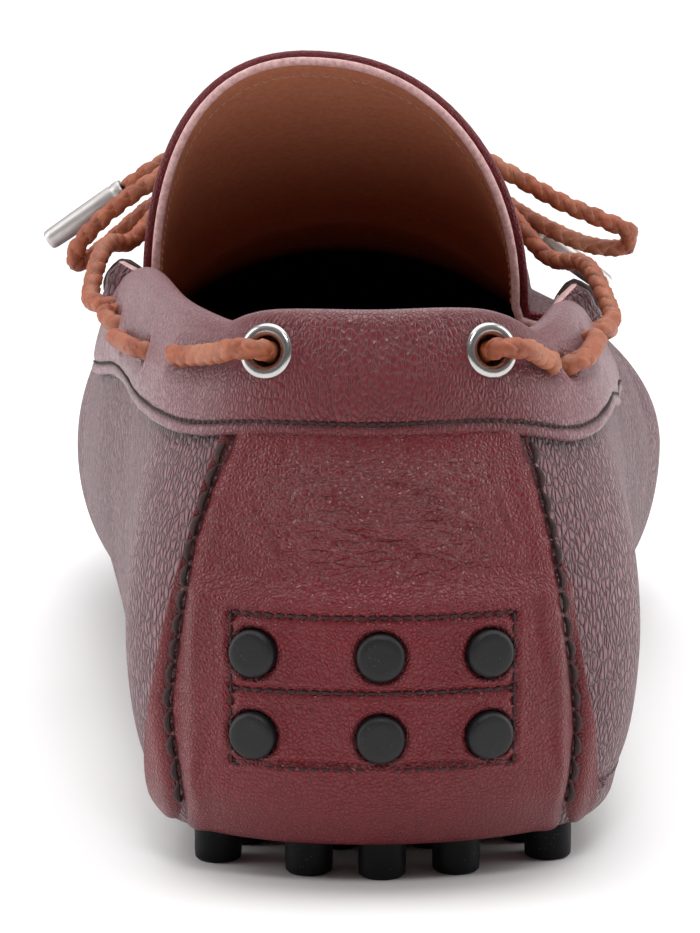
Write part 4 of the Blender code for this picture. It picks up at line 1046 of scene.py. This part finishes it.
BAND_PROFILE = (  # millimetres below the top along the wall, millimetres out of the wall
    (16.5, 0.45), (16.5, 0.80), (16.42, 1.20), (16.1, 1.46), (15.6, 1.56), (15.2, 1.50), (14.95, 1.36),
    (14.7, 1.36), (14.4, 1.52), (13.8, 1.72), (12.8, 1.84), (11.4, 1.92), (9.8, 1.96), (8.2, 1.95),
    (6.8, 1.90), (5.4, 1.84), (4.2, 1.78), (3.2, 1.70), (2.2, 1.62),
)
ROLL_DROP = 2.2
ROLL_OUT, ROLL_IN = 1.62, -3.05
BAND_STITCH_DROP = 14.83 * MM
INNER_PROFILE = ((3.4, -3.05), (4.8, -3.02), (6.0, -3.0), (6.6, -2.85), (6.7, -2.4))


EDGE_GROOVE = slice(5, 9)  # rows of the band's grid in the sewn groove beside its lower edge
GROOVE_SHADE = 0.55
INNER_ROWS = 20  # rows of the grid that lie inside the collar


def band_grid(at):
    """The band's points: up its face, over the roll and down inside, row by row."""
    rises = {}

    def spot(drop_mm, out_mm):
        key = round(drop_mm, 3)
        if key not in rises:
            rises[key] = rise_below_top(at, drop_mm * MM)
        return wall(at, rises[key], out_mm * MM + 0 * at)

    coarse = [spot(d, o)[0] for d, o in BAND_PROFILE]
    base, way = spot(ROLL_DROP, 0.0)
    upward = unit(spot(0.0, 0.0)[0] - base)
    middle, radius = (ROLL_OUT + ROLL_IN) / 2, (ROLL_OUT - ROLL_IN) / 2
    for turn in np.radians(np.linspace(0, 180, 13)[1:-1]):
        coarse.append(base + way * (middle + radius * math.cos(turn)) * MM + upward * radius * math.sin(turn) * MM)
    coarse.append(spot(ROLL_DROP, ROLL_IN)[0])
    coarse.extend(spot(d, o)[0] for d, o in INNER_PROFILE)
    # More rows between, so that the dips at the lace's holes are round.
    fine = []
    for r in range(len(coarse) - 1):
        parts = 3 if 7 <= r < len(BAND_PROFILE) - 1 else 1
        fine.extend(coarse[r] + (coarse[r + 1] - coarse[r]) * k / parts for k in range(parts))
    return np.array(fine + [coarse[-1]])


def lace_dips(grid):
    """How the lace presses the band in along its runs and at its holes, and the painted shade in the holes."""
    dark, push, outer_part = (np.zeros(grid.shape[:2]) for _ in range(3))
    outer_part[: len(grid) - INNER_ROWS] = 1
    for side in (MEDIAL, LATERAL):
        slits = [end for _, end in RUNS[side]] + [start for start, _ in RUNS[side][1:]] + [EXIT]
        places = [(RUNS[side][0][0], 0.0023, 0.0016, 0.95)]
        places += [(distance, 0.0020, 0.0009, 0.75) for distance in slits]
        for distance, reach, depth, shade in places:
            point = lace_line(np.array([distance]), side, np.array([BAND_LEATHER]))[0][0]
            far = np.linalg.norm(grid - point, axis=2)
            push -= depth * np.exp(-((far / reach) ** 4)) * outer_part
            dark = np.maximum(dark, shade * np.exp(-((far / (reach * 0.92)) ** 6)) * outer_part)
        for start, end in RUNS[side]:
            path = lace_line(np.linspace(start, end, 24), side, np.full(24, BAND_LEATHER))[0]
            far = np.min(np.linalg.norm(grid[:, :, None] - path[None, None], axis=3), axis=2)
            push -= 0.00022 * hump(far, 0.0020) * outer_part
            push += 0.00016 * hump(far - 0.0036, 0.0012) * outer_part
    flat = np.linspace(0, 1, grid.shape[1])
    ripple = np.sin(flat * 61) * 0.5 + np.sin(flat * 143 + 1.3) * 0.3 + np.sin(flat * 247 + 0.4) * 0.2
    push += ripple[None, :] * 0.00012 * outer_part
    return push, dark


def make_band():
    """The band with its rolled top, its pale places of painted sheen, its polished places and its row of stitches.
    """
    half = ring_places(330, 0.0, THROAT, closed=False)
    at = np.concatenate([-half[:0:-1], half])
    grid = band_grid(at)
    normals = grid_normals(grid)
    centre = np.array([0.0, 0.3 * LENGTH, 0.0])
    if np.sum(normals[3] * (grid[3] - centre)) < 0:
        normals = -normals
    push, dark = lace_dips(grid)
    grid = grid + normals * push[..., None]
    # Painted shade in the sewn groove beside the band's lower edge, joined below with the painted shade in the
    # lace's holes.
    groove = np.zeros(grid.shape[:2])
    groove[EDGE_GROOVE] = GROOVE_SHADE
    faces = grid_faces(len(grid), len(at), closed_rows=True)
    slots = [0] * len(faces) + [1, 1]
    faces += side_caps(*grid.shape[:2])
    # pale is painted light: pale pink on the band's sides, where light grazes it, and a painted highlight along
    # the crest of its roll. It is also paler towards its ends at the throat, except in the groove.
    far_out = np.where(grid[..., 0] < 0, -grid[..., 0] - 0.0145, grid[..., 0] - 0.0170)
    pale = 0.70 * smooth(far_out / 0.0130)
    crest = hump(grid[..., 2] - grid[..., 2].max(axis=0), 0.00022)
    pale = np.maximum(pale, 0.75 * crest * (grid[..., 1] < 0.05))
    end = THROAT - from_heel(at)
    pale = np.maximum(pale, 0.9 * (1 - smooth((end - 0.02) / 0.05))[None, :] * (1 - groove / GROOVE_SHADE))
    polish = hump(grid[..., 0], 0.013) * smooth((grid[..., 2] - 0.066) / 0.008) * (grid[..., 1] < 0)
    obj = make_object("collar_band_leather", grid, faces, [BAND, RAW], slots,
                      {"dark": np.maximum(dark, groove), "pale": pale, "polish": polish})
    fix_normals(obj)
    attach(obj, "root")
    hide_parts("collar_band")
    line, ways = wall(at, rise_below_top(at, BAND_STITCH_DROP), 1.30 * MM + 0 * at)
    parts = Builder()
    stitches(parts, line, ways, 0.00128, 0.00112, 0.00019, lift=0.00012)
    sewn = parts.make("band_stitches", [DARK_THREAD])
    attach(sewn, "root")


# The apron with the tongue, in two layers.

OUTER_SKIN = 0.00125
TONGUE_TIP = 6.30


def make_apron():
    """The apron and tongue: the outer leather, the lining layer and its row of stitches."""
    stations = np.concatenate([np.linspace(13.95, 9.0, 60), np.linspace(9.0, TONGUE_TIP, 90)[1:]])
    shares = np.sin(np.linspace(-1, 1, 81) * np.radians(82)) / np.sin(np.radians(82))
    grid = apron_rows(stations, shares, soft=True)
    normals = grid_normals(grid)
    if normals[20, 40, 2] < 0:
        normals = -normals
    rows, cols = grid.shape[:2]
    # Soft waves in the tongue and flex creases across the forefoot, placed one by one.
    wave = np.zeros((rows, cols))
    at = stations[:, None] * np.ones((1, cols))
    span = shares[None, :] * np.ones((rows, 1))
    for place, share, wide, tall, out in (
        (8.15, 0.10, 0.10, 0.60, -0.0007), (8.45, -0.05, 0.12, 0.60, 0.0005), (8.75, 0.00, 0.10, 0.55, -0.0006),
        (7.75, -0.30, 0.12, 0.40, -0.0005), (7.70, 0.40, 0.12, 0.30, -0.0005), (9.20, 0.10, 0.12, 0.50, -0.0004),
        (6.70, -0.75, 0.20, 0.12, 0.0005), (6.80, 0.72, 0.20, 0.12, 0.0005),
    ):
        wave += out * np.exp(-(((at - place) / wide) ** 2) - ((span - share) / tall) ** 2)
    grid = grid + normals * wave[..., None]
    tip = unit(grid[-1] - grid[-2])

    def layer(name, high, low, beyond, materials, replaced):
        """One layer of leather between two depths, with a rounded free edge at the tongue's tip."""
        top = grid - normals * high
        low_grid = grid - normals * low
        mid = (high + low) / 2
        half = (low - high) / 2
        edge = [grid[-1] - normals[-1] * (mid - half * math.cos(turn))
                + tip * (beyond + half * 0.8 * math.sin(turn)) for turn in np.radians((20, 50, 90, 130, 160))]
        top[-1] = top[-1] + tip * beyond
        low_grid[-1] = low_grid[-1] + tip * beyond
        loop = np.concatenate([top, np.array(edge), low_grid[::-1]])
        faces = grid_faces(len(loop), cols, closed_rows=True)
        slots = np.zeros((len(loop), cols - 1), int)
        slots[rows - 1 : rows + 5] = 1
        slots[rows + 5 :] = 2
        faces += side_caps(len(loop), cols)
        dark = np.zeros((len(loop), cols))
        # Painted shade: the lining darkens deep inside, towards the toe.
        deep = smooth((loop[..., 1] - 0.150) / 0.020)
        obj = make_object(name, loop, faces, materials, np.append(slots.ravel(), [0, 0]),
                          {"dark": dark, "deep": deep})
        fix_normals(obj)
        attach(obj, "root")
        if replaced:
            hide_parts(replaced)
        return obj

    outer = layer("apron_leather", 0.0, OUTER_SKIN, 0.0, [SIDE, TAB, LINING], "apron")
    inner = layer("tongue_lining", OUTER_SKIN + 0.00006, TONGUE_LEATHER, 0.0006, [RAW, RAW, LINING], None)
    # The row of stitches just inside the free edge.
    line = (grid - normals * TONGUE_LEATHER)[-3]
    parts = Builder()
    stitches(parts, line[6:-6], -normals[-3][6:-6], 0.00150, 0.00120, 0.00017, lift=0.00006)
    sewn = parts.make("tongue_stitches", [BROWN_THREAD])
    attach(sewn, "root")


def make_seam_stitches():
    """The hand-sewn stitches that pull the wall's lip over the apron."""
    begin = SEAM_FULL + 0.05
    dense = np.concatenate([np.linspace(begin, TOE, 1200), AROUND - np.linspace(TOE, begin, 1200)[1:]])
    far = lengths(wall(dense, 1.0)[0])
    parts = Builder()
    count = int(far[-1] / PUCKER_PITCH)
    offset = seam_distance(np.array([begin]))[0]
    first = math.ceil(offset / PUCKER_PITCH)
    for k in range(first, first + count):
        distance = (k + 0.5) * PUCKER_PITCH - offset
        if not 0 < distance < far[-1]:
            continue
        at = np.interp(distance, far, dense)
        lifts = TONGUE_LEATHER + 2 * CLEARANCE
        drops = np.array([0.0046, 0.0036, 0.0022, 0.0010, 0.0001])
        outs = lifts + np.array([-0.0002, 0.0004, 0.0006, 0.0004, 0.0001])
        rises = rise_below_top(np.full(5, at), drops)
        line = wall(np.full(5, at), rises, outs)[0]
        _, way = wall(at, 1.0)
        upward = unit(line[-1] - line[-2])
        over_edge = [line[-1] + upward * 0.0005 - way * 0.0008, line[-1] + upward * 0.0006 - way * 0.0030]
        parts.tube(smooth_path(np.concatenate([line, over_edge]), 0.0009), 0.00038, sides=7)
    obj = parts.make("seam_stitches", [RED_THREAD])
    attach(obj, "root")


# The sole leather and the heel tab.

def make_sole():
    """The sole leather: its turned-up rim and its underside."""
    at = ring_places(480)
    turned = turn_up_rise(at)
    tab_end = np.where(np.mod(at, AROUND) > TOE, TAB_FOOT, TAB_FOOT_LATERAL)
    beside_tab = smooth((from_heel(at) - tab_end - 0.05) / 0.35)
    rows = []
    for part in np.linspace(0, 1, 10):
        rise = -1 + (turned + 1 + 0.05) * part
        out = FACE - 0.00005 - (FACE - 0.00030) * smooth(part) * (0.35 + 0.65 * beside_tab)
        rows.append(wall(at, rise, out)[0])
    rim = np.array(rows)
    tuck = wall(at, turned + 0.05, np.full(len(at), -0.0001))[0]
    rim = np.concatenate([rim, tuck[None]])
    faces = grid_faces(len(rim), len(at), closed_cols=True, flip=True)
    points = [rim.reshape(-1, 3)]
    slots = [0] * len(faces)
    base = rim.shape[0] * rim.shape[1]
    stations = np.linspace(0.0, TOE, 150)
    shares = np.linspace(-1, 1, 41)
    below = np.array([0, 0, -FACE + 0.00005])
    pairs = [across(place) for place in stations]
    grid = np.array([one + (two - one) * (shares[:, None] + 1) / 2 + below for one, two in pairs])
    faces += grid_faces(len(stations), len(shares), base=base, flip=False)
    slots += [1] * (len(faces) - len(slots))
    points.append(grid.reshape(-1, 3))
    dark = np.zeros(base + grid.shape[0] * grid.shape[1])
    obj = make_object("sole_leather", np.concatenate(points), faces, [SIDE, TAB], slots, {"dark": dark})
    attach(obj, "root")
    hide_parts("outsole")

# The tab's sewn grooves in millimetres: height, distance from the middle on the medial and lateral side.
GROOVES = (
    (8.0, 26.0, 25.4), (14.4, 26.8, 26.3), (20.5, 27.7, 26.8), (24.3, 27.9, 26.5), (29.3, 27.3, 25.9),
    (34.9, 26.5, 25.1), (45.4, 24.8, 23.6), (54.0, 22.0, 21.5), (60.0, 19.8, 20.0),
)
GROOVE_Z = (0.0105, 0.0590)
BOX_X = (-0.0194, 0.0176)
BOX_Z = (0.0182, 0.0280, 0.0378)


def groove_x(z, side):
    """How far from the middle the groove runs at a height, on the side that side's sign gives."""
    high, medial, lateral = np.array(GROOVES).T * MM
    return np.where(np.asarray(side) < 0, np.interp(z, high, medial), np.interp(z, high, lateral))


# Creases of the tab: start x and z, end x and z, sag, width and depth, in millimetres.
TAB_CREASES = (
    (-9.0, 54.5, 2.0, 50.5, -0.8, 0.55, 0.20), (-2.0, 55.5, 9.0, 52.0, 0.6, 0.50, 0.20),
    (4.0, 51.0, 14.0, 47.5, 0.8, 0.55, 0.22), (-12.0, 50.0, -3.0, 47.0, -0.6, 0.50, 0.18),
    (-5.0, 49.0, 6.0, 45.0, 0.8, 0.60, 0.22), (2.0, 47.0, 13.0, 43.5, -0.6, 0.50, 0.18),
    (-14.0, 45.5, -6.0, 43.0, 0.6, 0.50, 0.16), (-9.0, 43.0, 3.0, 40.5, -0.8, 0.55, 0.18),
    (6.0, 42.0, 16.0, 40.0, 0.5, 0.50, 0.14), (-16.5, 52.0, -12.5, 44.0, 0.8, 0.50, 0.14),
    (15.0, 55.0, 18.5, 46.0, -0.9, 0.50, 0.14), (-19.0, 40.0, -21.5, 30.0, 0.8, 0.60, 0.14),
    (20.5, 40.0, 23.0, 28.0, -0.8, 0.60, 0.14), (-22.5, 24.0, -24.0, 14.0, 0.5, 0.60, 0.12),
    (22.5, 24.0, 24.5, 13.0, -0.5, 0.60, 0.12), (-10.0, 12.0, 12.0, 11.4, 0.9, 0.80, 0.14),
)


def crease_depth(x, z, rows):
    """Depth of the creases at points given in metres."""
    total = np.zeros(np.shape(x))
    for x0, z0, x1, z1, sag, wide, deep in rows:
        start, end = np.array([x0, z0]) * MM, np.array([x1, z1]) * MM
        span = end - start
        size = np.hypot(*span)
        ahead = ((x - start[0]) * span[0] + (z - start[1]) * span[1]) / size**2
        off = ((x - start[0]) * -span[1] + (z - start[1]) * span[0]) / size
        clipped = np.clip(ahead, 0, 1)
        off = off - sag * MM * 4 * clipped * (1 - clipped)
        fade = smooth(1 - np.abs(2 * ahead - 1) ** 3) * (np.abs(ahead - 0.5) < 0.5)
        trough, ridges = hump(off, wide * MM), hump(np.abs(off) - 1.9 * wide * MM, wide * MM)
        total += deep * MM * fade * (trough - 0.45 * ridges)
    return total


TURN_UP_SHARE = 0.12  # share of the tab's rows that lies round the turned-up edge
TAB_OVERLAP = 0.0012  # how far the tab's leather reaches in under the band
BOX_STITCH_DEPTH = 0.00030  # how far the boxes' stitches pull the leather in
GROOVE_DEPTH = 0.00085


def tab_places(share, columns):
    """Where the tab's rows and columns lie on the wall: position and rise."""
    foot_at = columns * np.where(columns < 0, TAB_FOOT, TAB_FOOT_LATERAL)
    top_at = columns * np.where(columns < 0, TAB_TOP, TAB_TOP_LATERAL)
    foot = turn_up_rise(foot_at)
    rows_at, rows_rise = [], []
    for part in share:
        if part < TURN_UP_SHARE:
            at = foot_at
            rise = -1 + (foot + 1) * (part / TURN_UP_SHARE)
        else:
            up = (part - TURN_UP_SHARE) / (1 - TURN_UP_SHARE)
            at = foot_at + (top_at - foot_at) * up
            low = turn_up_rise(at)
            rise = low + (rise_below_top(at, BAND_DROP + TAB_GAP - TAB_OVERLAP) - low) * up
        rows_at.append(at)
        rows_rise.append(rise)
    return np.array(rows_at), np.array(rows_rise)


def tab_relief(base):
    """How far the tab's face moves out at each point of base, and the painted shade there."""
    x, z = base[..., 0], base[..., 2]
    beside = np.abs(x) - groove_x(z, x)
    move = -GROOVE_DEPTH * hump(beside, 0.00075)
    move = move + 0.00030 * hump(beside + 0.0022, 0.0013) + 0.00022 * hump(beside - 0.0018, 0.0010)
    # Painted shade in the grooves, along the stitched boxes and round the studs.
    dark = 0.72 * hump(beside, 0.00055)
    in_width = (x > BOX_X[0] - 0.0004) & (x < BOX_X[1] + 0.0004)
    in_height = (z > BOX_Z[0] - 0.0004) & (z < BOX_Z[2] + 0.0004)
    lines = [(z - line, in_width) for line in BOX_Z] + [(x - line, in_height) for line in BOX_X]
    for off, within in lines:
        move = move - BOX_STITCH_DEPTH * hump(off, 0.00045) * within
        move = move + 0.00014 * hump(np.abs(off) - 0.0011, 0.0005) * within
        dark = np.maximum(dark, 0.45 * hump(off, 0.00028) * within)
    for point, stud_way in back_spots():
        off = base - point
        far = np.linalg.norm(off - (off @ stud_way)[..., None] * stud_way, axis=-1)
        move = move + 0.00030 * hump(far - 0.0041, 0.0007) - 0.0004 * (far < 0.0034)
        dark = np.maximum(dark, 0.80 * hump(np.clip(far - 0.0033, 0, 1), 0.00035))
    return move - crease_depth(x, z, TAB_CREASES), dark


def on_tab(px, pz, out):
    """A point on the tab's face at a given place seen from behind, and the way out there."""
    px, pz = np.broadcast_arrays(np.asarray(px, float), np.asarray(pz, float))
    places = np.linspace(-2.6, 2.6, 261)
    found = []
    for one_x, one_z in zip(px, pz):
        rises = rise_at_height(places, one_z)
        line = wall(places, rises, FACE + tab_lift(places, rises))[0][:, 0]
        found.append(np.interp(one_x, line, places))
    found = np.array(found)
    rises = rise_at_height(found, pz)
    return wall(found, rises, FACE + tab_lift(found, rises) + out)


def make_tab():
    """The heel tab's leather, with its grooves, stitched boxes, stud collars and creases."""
    share = np.concatenate([np.linspace(0, TURN_UP_SHARE, 14), np.linspace(TURN_UP_SHARE, 1, 190)[1:]])
    columns = np.sin(np.linspace(-1, 1, 236) * np.radians(70)) / np.sin(np.radians(70))
    at, rise = tab_places(share, columns)
    lift = tab_lift(at, rise)
    base, way = wall(at, rise, FACE + lift)
    x, z = base[..., 0], base[..., 2]
    move, dark = tab_relief(base)
    edge = smooth((1 - np.abs(columns)) / 0.035)
    move = move - (1 - edge)[None, :] * (FACE + lift - 0.0004) * 0.85
    move = move - smooth(np.clip((share - 0.90) / 0.10, 0, 1))[:, None] * 0.0010
    inner = wall(at, rise, np.full(at.shape, 0.0002))[0]
    loop = np.concatenate([base + way * move[..., None], inner[::-1]])
    rows, cols = loop.shape[:2]
    faces = grid_faces(rows, cols, closed_rows=True, flip=True) + side_caps(rows, cols)
    wrinkled = smooth((z - 0.037) / 0.009) * smooth((0.062 - z) / 0.006) * smooth((0.021 - np.abs(x)) / 0.014)
    wrinkled = np.clip(wrinkled + 0.04, 0, 1)
    # The dark mark is painted shade.
    marks = {"dark": dark, "wrinkle": wrinkled, "polish": wrinkled}
    obj = make_object("heel_tab_leather", loop, faces, [TAB], None,
                      {key: np.concatenate([values, 0 * values]) for key, values in marks.items()})
    fix_normals(obj)
    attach(obj, "root")


def make_tab_threads():
    """The thick thread in the tab's grooves and the thin thread of the boxes round the studs."""
    thick, thin = Builder(), Builder()
    for side in (MEDIAL, LATERAL):
        heights = np.linspace(*GROOVE_Z, 60)
        line, ways = on_tab(side * groove_x(heights, side), heights, -0.00030)
        stitches(thick, line, ways, 0.0033, 0.0027, 0.00050, lift=0.0002)
    box_lines = [(np.linspace(*BOX_X, 60), np.full(60, height)) for height in BOX_Z]
    box_lines += [(np.full(40, place), np.linspace(BOX_Z[0], BOX_Z[2], 40)) for place in BOX_X]
    for places, heights in box_lines:
        line, ways = on_tab(places, heights, -0.00012)
        stitches(thin, line, ways, 0.00150, 0.00118, 0.00020, lift=0.00010)
    for name, parts, finish in (("tab_seam_thread", thick, RED_THREAD), ("tab_box_thread", thin, DARK_THREAD)):
        sewn = parts.make(name, [finish])
        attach(sewn, "root")


# Rubber studs with chamfered rims.

def add_stud(builder, foot, way, start, reach):
    """A stud from start to reach along way, measured from foot, with a chamfered rim."""
    profile = ((start, 1.0), (reach - 0.0016, 1.0), (reach - 0.00062, 0.985), (reach - 0.00040, 0.965),
               (reach - 0.00008, 0.86), (reach, 0.80), (reach, 0.55), (reach + 0.00003, 0.0))
    builder.turned(profile, foot, way, STUD_RADIUS, 36, (0.31, 0.95, 0.10))


def slab_points(lower, upper):
    """Points and faces of a slab between two grids."""
    rows, cols = lower.shape[:2]
    faces = grid_faces(rows, cols) + grid_faces(rows, cols, base=rows * cols, flip=True)
    rim = [(r, 0) for r in range(rows)] + [(rows - 1, c) for c in range(1, cols)]
    rim += [(r, cols - 1) for r in range(rows - 2, -1, -1)] + [(0, c) for c in range(cols - 2, 0, -1)]
    rim = [r * cols + c for r, c in rim]
    for one, two in zip(rim, rim[1:] + rim[:1]):
        faces.append([one, two, two + rows * cols, one + rows * cols])
    return np.concatenate([lower.reshape(-1, 3), upper.reshape(-1, 3)]), faces


def make_studs():
    """The stud plates under the sole and the studs of the heel tab."""
    low = WALL + 2 * CLEARANCE
    reach = STUD_HEIGHT + SOLE_LEATHER + CLEARANCE
    plates = (("stud_plate_heel", (0.0, 4.8), HEEL_STUDS), ("stud_plate_ball", (6.6, 12.0), BALL_STUDS))
    for name, span, table in plates:
        parts = Builder()
        grids = [floor_rows(np.linspace(*span, 24), np.linspace(-1, 1, 9), height)
                 for height in (low, low + STUD_PLATE)]
        parts.add(*slab_points(*grids))
        for spot in stud_spots(table):
            add_stud(parts, spot, np.array([0, 0, -1.0]), -low - STUD_PLATE / 2, reach)
        obj = parts.make(name + "_rubber", [BLACK_UNDER], sharp=35)
        fix_normals(obj)
        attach(obj, "root")
        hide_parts(name)
    parts = Builder()
    skin = STUD_PLATE + 3 * CLEARANCE + SOLE_LEATHER
    for point, way in back_spots():
        add_stud(parts, point, way, CLEARANCE + STUD_PLATE / 2, skin + BACK_STUD_STAND)
    obj = parts.make("back_studs_rubber", [BLACK], sharp=35)
    fix_normals(obj)
    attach(obj, "root")
    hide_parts("stud_plate_back")


# Insole, eyelets and the lace through the band.

def make_insole():
    """The insole, hollowed a little towards its middle."""
    shares = np.linspace(-1, 1, 41)
    stations = np.linspace(0.0, TOE, 110)
    low = WALL + STUD_PLATE + 4 * CLEARANCE
    bottom = floor_rows(stations, shares, low)
    top = floor_rows(stations, shares, low + INSOLE)
    dip = 0.0009 * (1 - (shares[None, :] ** 2)) * smooth((stations[:, None]) / 1.0)
    top[..., 2] = top[..., 2] - dip + 0.0004 * smooth((np.abs(shares[None, :]) - 0.9) / 0.1)
    points, faces = slab_points(bottom, top)
    # Painted shade: the insole darkens deep inside, towards the toe.
    deep = smooth((points[:, 1] - 0.115) / 0.04)
    obj = make_object("insole_sock", points, faces, [SOCK], None, {"dark": 0 * deep, "deep": deep})
    fix_normals(obj)
    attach(obj, "root")
    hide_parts("insole")


def make_eyelets():
    """The two steel rings with their barrels."""
    for side, name in ((LATERAL, "eyelet_lateral"), (MEDIAL, "eyelet_medial")):
        point, way = (found[0] for found in lace_line(np.array(RUNS[side][0][:1]), side, 0.0))
        seat = BAND_LEATHER + 3 * CLEARANCE
        mid, half = (EYELET_RADIUS + EYELET_BORE) / 2, (EYELET_RADIUS - EYELET_BORE) / 2
        profile = [(EYELET_BORE, -WALL / 2), (EYELET_BARREL, -WALL / 2), (EYELET_BARREL, seat - 0.0001),
                   (EYELET_RADIUS - 0.0001, seat)]
        for turn in np.radians(np.linspace(-20, 200, 12)):
            profile.append((mid + half * math.cos(turn), seat + 0.00022 + 0.00062 * math.sin(turn)))
        profile = np.array(profile)
        frame_side = unit(np.cross(way, (0, 0, 1.0)))
        frame_up = np.cross(way, frame_side)
        turns = np.arange(48) * math.tau / 48
        rings = np.array([point + (frame_side * math.cos(a) + frame_up * math.sin(a)) * profile[:, :1]
                          + way * profile[:, 1:] for a in turns])
        faces = grid_faces(48, len(profile), closed_rows=True, closed_cols=True)
        obj = make_object(name + "_ring", rings, faces, [STEEL], sharp=40)
        fix_normals(obj)
        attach(obj, "root")
        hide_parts(name)


def make_bars():
    """The runs of lace on the band, and the lace over the front."""
    radius = LACE_DIAMETER / 2
    lying = 2 * CLEARANCE + BAND_LEATHER + radius
    over = lying + EYELET_FLANGE + 2 * CLEARANCE
    for side, side_name in ((LATERAL, "lateral"), (MEDIAL, "medial")):
        parts = Builder()
        nodes = []
        for number, (start, end) in enumerate(RUNS[side]):
            first, height = (EYELET_BEND, over) if number == 0 else (SLIT_BEND, lying)
            bends = [(start + step, height + up) for step, up in first]
            bends += [(end - step, lying + up) for step, up in SLIT_BEND[::-1]]
            places, outs = np.array(bends).T
            outs[0] -= SINK
            outs[-1] -= SINK
            points = lace_line(places, side, outs)[0]
            braid(parts, smooth_path(points, 0.0008), twist=0.4 + 0.3 * number)
            nodes.append(f"lace_bar_{side_name}_{number + 1}")
        obj = parts.make(f"lace_bars_{side_name}", [TAN], sharp=0)
        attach(obj, "root")
        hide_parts(*nodes)
    sides = []
    for side in (LATERAL, MEDIAL):
        steps, ups = np.array(EXIT_BEND).T
        outs = lying + ups
        outs[0] -= SINK
        start = lace_line(EXIT + steps, side, outs)[0]
        climb = [wall(side * at, rise, out)[0] for at, rise, out in CLIMB_WALL]
        cross = [apron_point(at, side * share, out) for at, share, out in CLIMB_APRON]
        sides.append(list(start) + climb + cross)
    middle = apron_point(KNOT_STATION, 0.0, radius + 2 * CLEARANCE)
    parts = Builder()
    braid(parts, smooth_path(sides[0] + [middle] + sides[1][::-1], 0.0011))
    obj = parts.make("lace_front_braid", [TAN], sharp=0)
    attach(obj, "root")
    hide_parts("lace_front")


set_stage()
make_cords()
make_upper()
make_band()
make_apron()
make_seam_stitches()
make_sole()
make_tab()
make_tab_threads()
make_studs()
make_insole()
make_eyelets()
make_bars()
